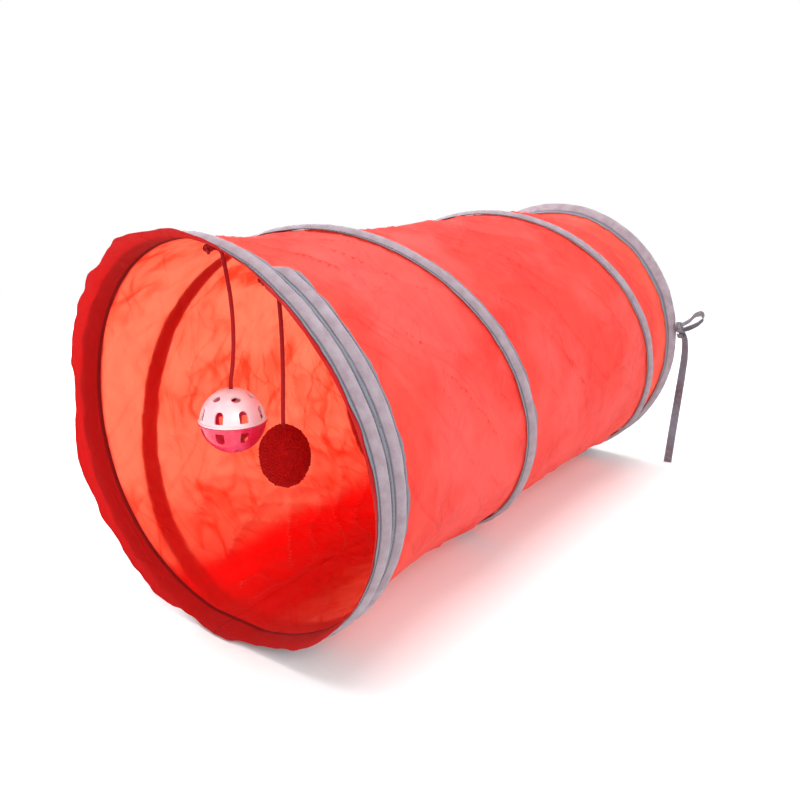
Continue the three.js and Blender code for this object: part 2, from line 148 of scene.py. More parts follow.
class Finish:
    """The material of one sort of surface, made of nodes."""

    def __init__(self, name):
        self.material = bpy.data.materials.new(name)
        self.material.use_nodes = True
        self.nodes = self.material.node_tree.nodes
        self.nodes.clear()

    def node(self, kind, settings=None, sockets=None, output=0):
        """A node of a kind: its settings first, then the values or links of its sockets."""
        made = self.nodes.new(kind)
        for key, value in (settings or {}).items():
            setattr(made, key, value)
        for key, value in (sockets or {}).items():
            if isinstance(value, Port):
                self.material.node_tree.links.new(value.socket, made.inputs[key])
            else:
                made.inputs[key].default_value = value
        return Port(self, made.outputs[output] if len(made.outputs) else None)

    def places(self):
        """Distance along and across a woven or twisted piece, in metres or turns."""
        place = {0: self.node("ShaderNodeUVMap", {"uv_map": "run"})}
        return [self.node("ShaderNodeSeparateXYZ", None, place, axis) for axis in "XY"]

    def mottle(self, scale, detail=2.0, rough=0.5):
        """Soft random patches, from 0 to 1, as many to a metre as scale says."""
        where = self.node("ShaderNodeTexCoord", None, None, "Object")
        sockets = {"Vector": where, "Scale": scale, "Detail": detail, "Roughness": rough}
        return self.node("ShaderNodeTexNoise", None, sockets, "Fac")

    def folds(self, run, spread, long_size, short_size, seed, width=0.06):
        """Long soft creases in cloth, by place in metres: 1 along a crease and 0 away from it."""
        sockets = {"X": run / long_size, "Y": spread / short_size, "Z": seed}
        place = self.node("ShaderNodeCombineXYZ", None, sockets)
        sockets = {"Vector": place, "Scale": 1.0, "Detail": 1.5, "Roughness": 0.4, "Distortion": 0.6}
        waves = self.node("ShaderNodeTexNoise", None, sockets, "Fac")
        return 1 - (abs(waves - 0.5)).rise(0.0, width)

    def bump(self, height, strength, depth):
        sockets = {"Strength": strength, "Distance": depth, "Height": height}
        return self.node("ShaderNodeBump", None, sockets)

    def close(self, colour, roughness, relief=None, glows=(), glow_share=0.0, **plain):
        """Ends the finish. glows are the colours of the light that comes through from behind,
        each with the share of it that covers the ones before it."""
        sockets = {"Base Color": colour, "Roughness": roughness}
        if relief:
            sockets["Normal"] = relief
        sockets.update({key.replace("_", " "): value for key, value in plain.items()})
        surface = self.node("ShaderNodeBsdfPrincipled", None, sockets)
        behind = None
        for tint, share in glows:
            through = {"Color": tint}
            if relief:
                through["Normal"] = relief
            lit = self.node("ShaderNodeBsdfTranslucent", None, through)
            if behind:
                lit = self.node("ShaderNodeMixShader", None, {0: share, 1: behind, 2: lit})
            behind = lit
        if behind:
            mix = {0: glow_share, 1: surface, 2: behind}
            surface = self.node("ShaderNodeMixShader", None, mix)
        self.node("ShaderNodeOutputMaterial", None, {"Surface": surface})
        return self.material


def curve(knots, values, slopes, where):
    """Values at places between knots, on a smooth curve with a given slope at each knot."""
    i = np.clip(np.searchsorted(knots, where, side="right") - 1, 0, len(knots) - 2)
    h = knots[i + 1] - knots[i]
    t = (where - knots[i]) / h
    if values.ndim > 1:
        h, t = h[:, None], t[:, None]
    return (
        values[i] * (1 + 2 * t) * (1 - t) ** 2 + slopes[i] * h * t * (1 - t) ** 2
        + values[i + 1] * t * t * (3 - 2 * t) - slopes[i + 1] * h * t * t * (1 - t)
    )


def smooth_route(points, step):
    """Evenly spaced points on a smooth curve through the given ones."""
    points = np.array([tuple(p) for p in points], float)
    knots = distances(points)
    fine = np.linspace(0, knots[-1], max(8, int(knots[-1] / step) * 2))
    return evenly(curve(knots, points, np.gradient(points, knots, axis=0), fine), step)


def distances(line):
    """How far along a line each of its points lies."""
    return np.concatenate([[0], np.cumsum(np.linalg.norm(np.diff(line, axis=0), axis=1))])


def evenly(line, step):
    """The same line, with points a step apart."""
    run = distances(line)
    wanted = np.linspace(0, run[-1], max(2, round(run[-1] / step) + 1))
    return np.stack([np.interp(wanted, run, line[:, k]) for k in range(3)], axis=1)


def run_length(line):
    return float(distances(line)[-1])


def carried_frames(line, first_side):
    """Two directions square to the line at each point, carried along it without twisting."""
    along = np.gradient(line, axis=0)
    along /= np.linalg.norm(along, axis=1)[:, None]
    side = np.array(first_side, float)
    sides = []
    for direction in along:
        side = side - direction * side.dot(direction)
        side = side / np.linalg.norm(side)
        sides.append(side)
    sides = np.array(sides)
    return sides, np.cross(along, sides)


def make_piece(name, points, faces, places, material, sharp=60):
    """A mesh object. places holds the pattern's place at each corner of each face."""
    mesh = bpy.data.meshes.new(name)
    mesh.from_pydata([tuple(p) for p in points], [], faces)
    mesh.validate()
    mesh.uv_layers.new(name="run").data.foreach_set("uv", np.asarray(places, np.float32).ravel())
    mesh.materials.append(material)
    mesh.shade_smooth()
    mesh.set_sharp_from_angle(angle=math.radians(sharp))
    piece = bpy.data.objects.new(name, mesh)
    bpy.context.scene.collection.objects.link(piece)
    return piece


def skin(name, rows, along, around, material, closed=False, sharp=60):
    """Closed surface over rows of points, each row a loop. along and around place the pattern,
    with one more value than there are rows or points in a row where those close up."""
    rows = np.asarray(rows, float)
    count, size = rows.shape[:2]
    spans = count if closed else count - 1
    i, j = np.meshgrid(np.arange(spans), np.arange(size), indexing="ij")
    near, far = i * size, ((i + 1) % count) * size
    step = (j + 1) % size
    faces = np.stack([near + j, near + step, far + step, far + j], axis=-1).reshape(-1, 4)
    u0, u1 = np.asarray(along)[i], np.asarray(along)[i + 1]
    v0, v1 = np.asarray(around)[j], np.asarray(around)[j + 1]
    places = np.stack([u0, v0, u0, v1, u1, v1, u1, v0], axis=-1).reshape(-1, 4, 2)
    flat = rows.reshape(-1, 3)
    a, b, c, d = (flat[faces[:, k]] for k in range(4))
    centre = flat.mean(axis=0)
    cross = np.cross(c - a, d - b)
    inside_out = ((a + c) / 2 - centre)[:, None, :] @ cross[:, :, None]
    faces, places = faces.tolist(), places.tolist()
    if not closed:
        last = (count - 1) * size
        first_place, last_place = [along[0], around[0]], [along[-1], around[0]]
        faces += [list(range(size))[::-1], list(range(last, last + size))]
        places += [[first_place] * size, [last_place] * size]
    if inside_out.sum() < 0:
        faces = [face[::-1] for face in faces]
        places = [corner[::-1] for corner in places]
    corners = [corner for face in places for corner in face]
    return make_piece(name, flat, faces, corners, material, sharp)


def circles(line, side, other, radius, sides):
    """A circle about each point of a line, in the plane of two directions. radius is one number,
    or one for each point."""
    turn = np.arange(sides) * TURN / sides
    radius = np.broadcast_to(radius, len(line))[:, None, None]
    spoke = side[:, None] * np.cos(turn)[None, :, None] + other[:, None] * np.sin(turn)[None, :, None]
    return line[:, None] + spoke * radius


def tube_rows(line, radius, sides, first_side=(0, 1, 0)):
    """Circles square to a line."""
    return circles(line, *carried_frames(line, first_side), radius, sides)


def braid_relief(rows, line):
    """The plaits of a round braid, standing a little out of the cord."""
    run = distances(line)[:, None] / PLAIT_PITCH
    turn = np.arange(rows.shape[1]) / rows.shape[1]
    wave = np.sin(TURN * (run + 2 * turn[None])) * np.sin(TURN * (run - 2 * turn[None]))
    out = rows - line[:, None]
    return line[:, None] + out * (1 + PLAIT_LIFT / CORD_RADIUS * wave[..., None])


def braid_finish():
    finish = Finish("braided_cord")
    along, round_it = finish.places()
    run, turn = along * (TURN / (PLAIT_PITCH / 2)), round_it * (4 * TURN)
    plait = ((run + turn).sine() * (run - turn).sine()).rise(-0.6, 0.7)
    fuzz = finish.mottle(2600, 3)
    # Painted shade: the gaps between the plaits are a darker red.
    colour = (plait * 0.8 + fuzz * 0.3).between(CORD_GAP_SHADE, CORD_RED)
    relief = finish.bump(plait + fuzz * 0.4, 0.6, 0.25 * MM)
    return finish.close(
        colour, 0.62 + fuzz * 0.25, relief, Sheen_Weight=0.1, Sheen_Roughness=0.4,
        Sheen_Tint=(1.0, 0.2, 0.15, 1), Specular_IOR_Level=0.25,
    )


cord_finish = braid_finish()


def stands_for(piece, node, body=None):
    """The piece takes a node's place and goes with a body, when one is given."""
    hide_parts(node)
    if body:
        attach(piece, body)


def knot_piece(node, centre, size, axis, body):
    """A tight overhand knot: a cord's circles along a three-leaf knot about an axis."""
    t = np.linspace(0, TURN, 91)[:-1]
    ring, swell = size * 0.42, size * 0.27
    flat = np.stack([
        (ring + swell * np.cos(3 * t)) * np.cos(2 * t),
        (ring + swell * np.cos(3 * t)) * np.sin(2 * t),
        swell * 1.25 * np.sin(3 * t),
    ], axis=1)
    turn = Vector((0, 0, 1)).rotation_difference(Vector(axis)).to_matrix()
    line = flat @ np.array(turn).T + np.array(centre)
    ahead = np.roll(line, -1, axis=0) - np.roll(line, 1, axis=0)
    ahead /= np.linalg.norm(ahead, axis=1)[:, None]
    side = line - np.array(centre)
    side -= ahead * (side * ahead).sum(axis=1)[:, None]
    side /= np.linalg.norm(side, axis=1)[:, None]
    rows = circles(line, side, np.cross(ahead, side), size * 0.34, 12)
    along = np.linspace(0, 40 * MM, len(rows) + 1)
    piece = skin("tied_" + node, rows, along, np.linspace(0, 1, 13), cord_finish, closed=True)
    stands_for(piece, node, body)


def hanging_cord(node, y, hang_height, route):
    """The visible cord, from its knot at the hem to its toy, with the bend at the hem. route is
    how far it hangs to the side, in millimetres, and how high."""
    start = [(KNOT_X + 2.5 * MM, y, hang_height), (HANG_X - TURN_RADIUS, y, hang_height)]
    bend = []
    for share in (0.25, 0.5, 0.75, 1.0):
        turn = share * math.pi / 2
        x = HANG_X - TURN_RADIUS * (1 - math.sin(turn))
        bend.append((x, y - 0.2 * MM * share, hang_height - TURN_RADIUS * (1 - math.cos(turn))))
    drop = [(HANG_X, y + sideways * MM, z) for sideways, z in route]
    line = smooth_route(start + bend + drop, CORD_STEP)
    rows = braid_relief(tube_rows(line, CORD_RADIUS, CORD_SIDES), line)
    run = np.linspace(0, run_length(line), len(line))
    piece = skin("braided_" + node, rows, run, np.linspace(0, 1, CORD_SIDES + 1), cord_finish)
    stands_for(piece, node)
    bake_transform(piece)
    return piece, line


def knot_height(node):
    low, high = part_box(node)
    return (low.z + high.z) / 2


def middle_of(node):
    return sum(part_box(node), Vector()) / 2


ball_hang = knot_height("ball_cord_knot")
ball_top = BALL_CENTRE.z + BALL_RADIUS
ball_y = BALL_CENTRE.y
ball_cord, ball_line = hanging_cord("ball_cord", ball_y, ball_hang, [
    (-1.5, ball_hang - 12 * MM), (-4.5, ball_hang - 30 * MM), (-5, ball_hang - 48 * MM),
    (-2.5, ball_top + 14 * MM), (0, ball_top + 3 * MM), (0, ball_top - 2.6 * MM),
])

pompom_hang = knot_height("pompom_cord_knot")
pompom_top = POMPOM_CENTRE.z + POMPOM_RADII[2]
pompom_y = POMPOM_CENTRE.y
pompom_cord, pompom_line = hanging_cord("pompom_cord", pompom_y, pompom_hang, [
    (-1.2, pompom_hang - 16 * MM), (-1.8, pompom_hang - 36 * MM), (-1, pompom_top + 22 * MM),
    (0, pompom_top + 6 * MM), (0, POMPOM_CENTRE.z + 3.3 * MM),
])

for node, centre, size, axis, body in (
    ("ball_cord_knot", (KNOT_X, ball_y, ball_hang), 3.3 * MM, (1, 0, 0), "ball_knot"),
    ("pompom_cord_knot", (KNOT_X, pompom_y, pompom_hang), 3.3 * MM, (1, 0, 0), "pompom_knot"),
    ("ball_inner_knot", middle_of("ball_inner_knot"), 3.2 * MM, (0, 0, 1), "ball"),
    ("pompom_core_tie", middle_of("pompom_core_tie"), 3.0 * MM, (0, 0, 1), "pompom_toy"),
):
    knot_piece(node, centre, size, axis, body)

# --- Sleeve ----------------------------------------------------------------------------
# A tube of thin coral red polyester taffeta, sewn along the bottom. The spring wires hold
# it open and the cloth between them is slack, so it sags inwards and creases.
LENGTH = 470 * MM
RING_RADIUS = 125 * MM
ROUND_LENGTH = TURN * RING_RADIUS
CENTRE_HEIGHT = 122.5 * MM
MOUTH_LIFT = 0.9 * MM
MOUTH_GROWTH = 3.5 * MM
MOUTH_OVAL = 4.5 * MM
MOUTH_OVAL_ANGLE = math.radians(123)
MOUTH_LOBES = 2.6 * MM
MOUTH_LOBES_ANGLE = math.radians(46)
MOUTH_FADE = 150 * MM
MOUTH_RING_X = 7.4 * MM
REAR_RING_X = LENGTH - MOUTH_RING_X
TAPE_HALF_WIDTH = 7.4 * MM
CLOTH_DEPTH = 4.25 * MM          # below the outside of the tape where it crosses a wire
CLOTH_THICKNESS = 0.22 * MM
COIL_ROUTE = [
    (-157.5, 21.5), (-20, 21.5), (30, 28), (85, 52), (130, 79), (180, 114), (225, 147),
    (270, 177), (300, 192), (360, 228), (450, 280), (540, 328), (595, 374), (640, 414),
    (672, 441), (700, 448.5), (802.5, 448.5),
]
COIL_FIRST, COIL_LAST = math.radians(COIL_ROUTE[0][0]), math.radians(COIL_ROUTE[-1][0])
SLEEVE_STATIONS = 288            # round the tunnel
SLEEVE_COLUMNS = 156             # along it
SAG = 3.8 * MM
BROAD_FOLDS = 2.6 * MM
PLEATS = 1.9 * MM
CREASES = 2.3 * MM
GATHERS = 2.2 * MM
LIP = 2.6 * MM                   # the hem's red edge shows this far past the tape
HEM = 14.5 * MM                  # the cloth is folded double this far from each end
REAR_DIP = 6.5 * MM              # the cloth pulls the rear tape inwards ahead of its wire
INNER_LAYER = 1.0                # added to the pattern's place to mark the inside
CLOTH_RED = (0.78, 0.078, 0.07, 1)
CLOTH_DEEP_RED = (0.74, 0.052, 0.043, 1)
CLOTH_PAINTED_HIGHLIGHT = (0.82, 0.19, 0.18, 1)
CLOTH_INSIDE_PAINTED_RED_LIGHT = (0.84, 0.006, 0.004, 1)
CLOTH_INSIDE_PAINTED_RED_LIGHT_DEEP = (0.74, 0.003, 0.002, 1)
HEM_AND_LIP_PAINTED_SHADE = (0.66, 0.005, 0.006, 1)
SEAM_RED = (0.13, 0.002, 0.003, 1)
CLOTH_GLOW = (1.0, 0.48, 0.35, 1)
CLOTH_GLOW_DEEP = (0.92, 0.24, 0.14, 1)
HEM_GLOW = (0.55, 0.02, 0.015, 1)
UNDER_GLOW = (1.0, 0.02, 0.015, 1)
UNDER_HALF_WIDTH = 66 * MM       # no light comes up through the cloth where it lies on the floor
GLOW_SHARE = 0.58


def centre_height(x):
    return CENTRE_HEIGHT + MOUTH_LIFT * np.exp(-np.maximum(x, 0) / MOUTH_FADE)


def on_tunnel(angle, x, depth):
    """Points on the layer that lies a depth under the tape. angle is from the bottom, turning
    by the far side, and x is from the mouth's edge."""
    angle, x, depth = np.broadcast_arrays(angle, x, depth)
    oval = MOUTH_OVAL * np.cos(2 * (angle - MOUTH_OVAL_ANGLE))
    lobes = MOUTH_LOBES * np.cos(3 * (angle - MOUTH_LOBES_ANGLE))
    fade = np.exp(-np.maximum(x, 0) / MOUTH_FADE)
    radius = RING_RADIUS + (MOUTH_GROWTH + oval + lobes) * fade - depth
    down = np.cos(angle)
    floor = (centre_height(x) - depth) / np.maximum(down, 0.01)
    radius = np.where(down > 0.01, np.minimum(radius, floor), radius)
    y = radius * np.sin(angle)
    z = centre_height(x) - radius * down
    return np.stack([x - LENGTH / 2, y, z], axis=-1)


def coil_place(angle):
    """How far along the tunnel the coil has come, at an angle travelled in radians."""
    turns, places = np.array(COIL_ROUTE).T * np.array([[math.pi / 180], [MM]])
    slopes = np.zeros(len(turns))
    slopes[1:-1] = (places[2:] - places[:-2]) / (turns[2:] - turns[:-2])
    level = np.diff(places) == 0
    slopes[:-1][level] = 0
    slopes[1:][level] = 0
    return curve(turns, places, slopes, angle)


def bands_at(angle):
    """Where the wires cross one station of the tunnel, from the mouth to the rear."""
    places = [MOUTH_RING_X, REAR_RING_X]
    for turn in (-1, 0, 1, 2):
        travelled = angle + turn * TURN
        if COIL_FIRST <= travelled <= COIL_LAST:
            places.append(float(coil_place(np.array(travelled))))
    return sorted(places)


def patches(x, angle, seed, along, around, twist=0.0):
    """Smooth noise on the tunnel: sizes along and around it in metres, and a twist."""
    spread = RING_RADIUS / around
    turned = angle + twist * x
    return noise.noise((x / along + seed, spread * math.cos(turned), spread * math.sin(turned)))


def ridge(value, width):
    """A sharp fold where the noise passes through zero."""
    return max(0.0, 1 - abs(value) / width) ** 2


def rear_dip(x, angle):
    """How far the cloth is drawn in just ahead of the rear wire."""
    ahead = REAR_RING_X - 1.6 * MM - x
    near = np.clip(ahead / (13 * MM), 0, 1)
    far = np.clip((75 * MM - ahead) / (60 * MM), 0, 1)
    above_floor = np.clip(0.5 - 0.75 * np.cos(angle), 0, 1)
    return REAR_DIP * np.sin(near * math.pi / 2) * far * far * (3 - 2 * far) * above_floor


def slack(angle, x, bands):
    """How far the cloth stands inside the tunnel's surface at one point."""
    after = next((b for b in bands if b > x), None)
    before = next((b for b in reversed(bands) if b <= x), None)
    if after is None or before is None:
        return 0.0
    gap = after - before
    t = (x - before) / gap
    hold = TAPE_HALF_WIDTH * 0.8
    away = min(x - before, after - x) - hold
    if away <= 0:
        return 0.0
    free = min(1.0, away / (20 * MM))
    free = free * free * (3 - 2 * free)
    span = min(1.0, gap / (110 * MM))
    sag = SAG * span * 4 * t * (1 - t)
    far_side = 0.5 + 0.5 * math.sin(angle)
    broad = BROAD_FOLDS * patches(x, angle, 3.1, 70 * MM, 55 * MM, 2.0)
    near_band = math.exp(-away / (24 * MM))
    pleats = PLEATS * patches(x, angle, 11.7, 90 * MM, 9 * MM) * (0.25 + near_band)
    crease = ridge(patches(x, angle, 23.9, 46 * MM, 34 * MM, -5.0), 0.24)
    crease += 0.8 * ridge(patches(x, angle, 37.3, 80 * MM, 28 * MM, 3.5), 0.22)
    gathers = GATHERS * patches(x, angle, 83.1, 9 * MM, 60 * MM, 0.8) * max(0, 2 * far_side - 0.9)
    rough = 0.5 + 0.8 * far_side
    folds = free * span * (broad + gathers + (pleats - CREASES * crease) * rough)
    return max(sag + folds, -2.2 * MM)


def sleeve_rows():
    """Each station's loop: along the outside from the mouth to the rear, and back inside."""
    x = np.linspace(-LIP, LENGTH + 1.0 * MM, SLEEVE_COLUMNS)
    rows = []
    for station in range(SLEEVE_STATIONS):
        angle = TURN * station / SLEEVE_STATIONS
        bands = bands_at(angle)
        depth = np.array([slack(angle, float(v), bands) for v in x])
        ripple = patches(0, angle, 71.3, 1, 8 * MM)
        lump = patches(0, angle, 61.9, 1, 34 * MM) + 0.4 * patches(0, angle, 44.1, 1, 16 * MM)
        flared = 0.5 - 0.5 * math.cos(angle + math.radians(50)) if math.sin(angle) > -0.5 else 0.15
        at_lip = np.clip((0.9 * MM - x) / (0.9 * MM + LIP), 0, 1)
        at_rear = np.clip((x - LENGTH + 3 * MM) / (4 * MM), 0, 1) ** 1.5
        depth = depth - at_lip * (1.3 + 4.2 * flared + 0.7 * ripple + 2.6 * lump) * MM
        depth = depth - at_rear * (0.6 + 0.8 * ripple) * MM
        place = x - at_lip * (1.1 + 2.6 * flared + 0.8 * ripple + 4.2 * lump * (0.3 + flared)) * MM
        depth = depth + CLOTH_DEPTH + rear_dip(x, angle)
        outside = on_tunnel(angle, place, depth)
        inside = on_tunnel(angle, place, depth + CLOTH_THICKNESS)
        rows.append(np.concatenate([outside, inside[::-1]]))
    return np.array(rows), x


def taffeta_finish():
    finish = Finish("sleeve_taffeta")
    round_it, place = finish.places()
    inside = place.rise(0.7, 0.8)
    along = place - inside * INNER_LAYER
    weave = round_it.wave(0.62 * MM) * along.wave(0.58 * MM)
    slub = finish.mottle(420, 2, 0.6)
    broad = finish.mottle(20, 2)
    crumple = finish.mottle(85, 3, 0.6)
    leaning = finish.folds(
        round_it * 0.8 + along * 0.6, along * 0.8 - round_it * 0.6, 78 * MM, 26 * MM, 3.0,
    )
    rising = finish.folds(
        round_it * 0.9 - along * 0.44, along * 0.9 + round_it * 0.44, 52 * MM, 19 * MM, 9.0,
    )
    level = finish.folds(round_it, along, 95 * MM, 15 * MM, 5.0)
    folds = (leaning * 0.6 + rising * 0.4 + level * 0.3) * (0.3 + 0.8 * broad.rise(0.38, 0.62))
    hem = 1 - along.rise(HEM - 0.5 * MM, HEM) * (1 - along.rise(LENGTH - HEM, LENGTH - HEM + 0.5 * MM))
    hem_seam = 1 - (abs(along - HEM + 1.4 * MM)).rise(0.6 * MM, 1.7 * MM)
    seam = 1 - round_it.rise(0.5 * MM, 1.1 * MM)
    # Painted shade: where the cloth lies on the floor, the light through it is tinted a deep, pure red.
    wander = finish.mottle(16, 2) * (16 * MM)
    far_under = 1 - (round_it - wander).rise(UNDER_HALF_WIDTH * 0.6, UNDER_HALF_WIDTH)
    near_edge = ROUND_LENGTH - 0.45 * UNDER_HALF_WIDTH
    near_under = round_it.rise(near_edge, near_edge + 0.3 * UNDER_HALF_WIDTH)
    under = far_under + near_under
    haze = finish.mottle(13, 3, 0.55).rise(0.42, 0.66)
    thread = along.wave(2.8 * MM).rise(-0.4, 0.2) * seam
    shade = broad * 0.7 + slub * 0.5 - 0.1
    # Painted highlight: random pale patches on the outside stand in for the cloth's soft highlights.
    outside_colour = (haze * 0.55).between(shade.between(CLOTH_RED, CLOTH_DEEP_RED), CLOTH_PAINTED_HIGHLIGHT)
    # Painted red light: the same cloth is a purer, deeper red on the inside of the tunnel than outside,
    # standing in for the red light that shines through and bounces about inside.
    colour = inside.between(outside_colour, shade.between(CLOTH_INSIDE_PAINTED_RED_LIGHT, CLOTH_INSIDE_PAINTED_RED_LIGHT_DEEP))
    at_lip = 1 - along.rise(0.0, 0.6 * MM)
    # Painted shade: the inside of the hem, where the tape and the doubled cloth hold back the light, is a
    # darker red, and so is the lip.
    colour = (hem * inside * 0.7 + at_lip).between(colour, HEM_AND_LIP_PAINTED_SHADE)
    colour = (thread * 0.7 + hem_seam * 0.8).between(colour, SEAM_RED)
    # Painted shade: the light through the cloth is a deeper red along the painted creases, and in random
    # broad patches.
    patches_and_crease_shade = broad.rise(0.35, 0.65) * 0.3 + folds * 0.75
    glows = [(CLOTH_GLOW, 1), (CLOTH_GLOW_DEEP, patches_and_crease_shade), (UNDER_GLOW, under), (HEM_GLOW, hem)]
    height = weave * 0.03 + crumple * 0.6 + folds * 0.5 + slub * 0.1 - seam * 0.3
    relief = finish.bump(height, 0.6, 2.0 * MM)
    return finish.close(
        colour, 0.5 + slub * 0.2, relief, glows, GLOW_SHARE,
        Sheen_Weight=0.12, Sheen_Roughness=0.45, Sheen_Tint=(1.0, 0.72, 0.7, 1),
        Specular_IOR_Level=0.3,
    )


sleeve_loops, sleeve_x = sleeve_rows()
sleeve_run = np.linspace(0, ROUND_LENGTH, SLEEVE_STATIONS + 1)
sleeve_across = np.concatenate([sleeve_x, sleeve_x[::-1] + INNER_LAYER, sleeve_x[:1] + INNER_LAYER])
sleeve = skin(
    "woven_sleeve", sleeve_loops, sleeve_run, sleeve_across, taffeta_finish(), closed=True, sharp=80,
)


def folds_up(piece):
    """The piece goes with the front end and gets a mesh of its own."""
    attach(piece, "front_end")
    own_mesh(piece)


stands_for(sleeve, "sleeve")
folds_up(sleeve)

# --- Spring wires ----------------------------------------------------------------------
# Hard drawn steel wire, 1.8 mm thick: a ring at each end, its ends butted in a crimped
# ferrule, and one long coil between them whose cut ends wear dipped vinyl caps.
WIRE_RADIUS = 0.9 * MM
WIRE_DEPTH = 2.4 * MM
WIRE_SIDES = 10
WIRE_STEP = math.radians(1.5)
STATION = math.radians(7.5)      # the coil's wire ends this far inside its tape
WIRE_BUTT = 0.3 * MM             # half the gap between the ends of a ring's wire
STEEL = (0.36, 0.36, 0.37, 1)
STEEL_DARK = (0.16, 0.16, 0.17, 1)
ZINC = (0.52, 0.54, 0.56, 1)
ZINC_DULL = (0.3, 0.31, 0.33, 1)
VINYL = (0.02, 0.02, 0.022, 1)
VINYL_DUSTY = (0.05, 0.05, 0.052, 1)


def drawn_steel_finish():
    finish = Finish("drawn_steel")
    along, round_it = finish.places()
    lines = (round_it * (TURN * 14) + finish.mottle(300) * 2).sine()
    stain = finish.mottle(160, 4)
    relief = finish.bump(lines, 0.15, 0.05 * MM)
    colour = (stain.rise(0.45, 0.75)).between(STEEL, STEEL_DARK)
    return finish.close(colour, 0.28 + stain * 0.2, relief, Metallic=1.0)


def zinc_finish():
    finish = Finish("zinc_plate")
    bloom = finish.mottle(900, 5)
    relief = finish.bump(bloom, 0.2, 0.06 * MM)
    return finish.close(bloom.between(ZINC, ZINC_DULL), 0.3 + bloom * 0.25, relief, Metallic=1.0)


def vinyl_finish():
    finish = Finish("dipped_vinyl")
    dust = finish.mottle(1400, 4)
    relief = finish.bump(dust, 0.25, 0.08 * MM)
    return finish.close(dust.between(VINYL, VINYL_DUSTY), 0.42 + dust * 0.2, relief)


def wire_piece(name, angles, places, material):
    line = on_tunnel(angles, places, WIRE_DEPTH)
    rows = tube_rows(line, WIRE_RADIUS, WIRE_SIDES, (1, 0, 0))
    run = np.linspace(0, run_length(line), len(line))
    piece = skin("drawn_" + name, rows, run, np.linspace(0, 1, WIRE_SIDES + 1), material)
    stands_for(piece, name)
    return piece


steel = drawn_steel_finish()
for name, place, joined_at, body in (
    ("front_ring_wire", MOUTH_RING_X, 240, "front_end"),
    ("rear_ring_wire", REAR_RING_X, 120, "rear_end"),
):
    joint = math.radians(joined_at) + STATION / 2
    butt = WIRE_BUTT / RING_RADIUS
    turn = np.linspace(joint + butt, joint + TURN - butt, round(TURN / WIRE_STEP))
    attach(wire_piece(name, turn, place, steel), body)

coil_run = COIL_LAST - COIL_FIRST - 2 * STATION
coil_turn = np.linspace(COIL_FIRST + STATION, COIL_LAST - STATION, round(coil_run / WIRE_STEP))
folds_up(wire_piece("coil_wire", coil_turn, coil_place(coil_turn), steel))



def finish_node(node, material):
    """Puts a finish on a node that is kept as it came."""
    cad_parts[node].data.materials.clear()
    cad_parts[node].data.materials.append(material)


zinc, vinyl = zinc_finish(), vinyl_finish()
for node, material in (
    ("front_ring_ferrule", zinc), ("rear_ring_ferrule", zinc),
    ("coil_front_end_cap", vinyl), ("coil_rear_end_cap", vinyl),
):
    finish_node(node, material)

# --- Tapes -----------------------------------------------------------------------------
# Grey mauve polyester binding, 15 mm wide, laid over each wire on the outside of the sleeve
# and sewn down along both edges, so that it bulges over the wire between the two seams.
CHANNEL_HALF_WIDTH = 4.7 * MM
SEAM_AT = 5.3 * MM               # from the middle of the tape
CREST_DEPTH = 0.25 * MM
EDGE_DEPTH = 3.35 * MM
TAPE_THICKNESS = 0.32 * MM
TAPE_COLUMNS = 20
TAPE_STEP = math.radians(0.9)
COIL_TAPER = 8 * MM              # the coil's tape narrows to a point at its sewn-in ends
REAR_TAPE_REACH = 9.5 * MM       # of the rear tape ahead of its wire
TAPE_MAUVE = (0.27, 0.2, 0.235, 1)
TAPE_MAUVE_WORN = (0.35, 0.29, 0.33, 1)
TAPE_EDGE_TONE_AND_SHADE = (0.17, 0.18, 0.22, 1)
TAPE_SHADOW = (0.07, 0.065, 0.09, 1)
TAPE_GLOW = (0.5, 0.2, 0.22, 1)


def tape_finish():
    finish = Finish("binding_tape")
    along, across = finish.places()
    distance = abs(across)
    rib = along.wave(0.9 * MM)
    twill = (along + across).wave(0.7 * MM)
    mottled = finish.mottle(130, 4, 0.6)
    worn = finish.mottle(420, 3)
    edge = distance.rise(5.5 * MM, 6.1 * MM)
    groove = 1 - (abs(distance - SEAM_AT)).rise(0.3 * MM, 1.1 * MM)
    colour = (mottled.rise(0.3, 0.7)).between(TAPE_MAUVE, TAPE_MAUVE_WORN)
    # Partly painted shade: the flat edges beyond the seams are a darker grey blue, both the edge's own
    # tone and the shade that falls along them.
    colour = edge.between(colour, TAPE_EDGE_TONE_AND_SHADE)
    colour = (groove * 0.8).between(colour, TAPE_SHADOW)
    relief = finish.bump(rib * 0.1 + twill * 0.1 + worn * 0.5 - groove * 0.6, 0.5, 0.5 * MM)
    return finish.close(
        colour, 0.55 + worn * 0.25, relief, [(TAPE_GLOW, 1)], 0.16,
        Sheen_Weight=0.2, Sheen_Roughness=0.5,
    )


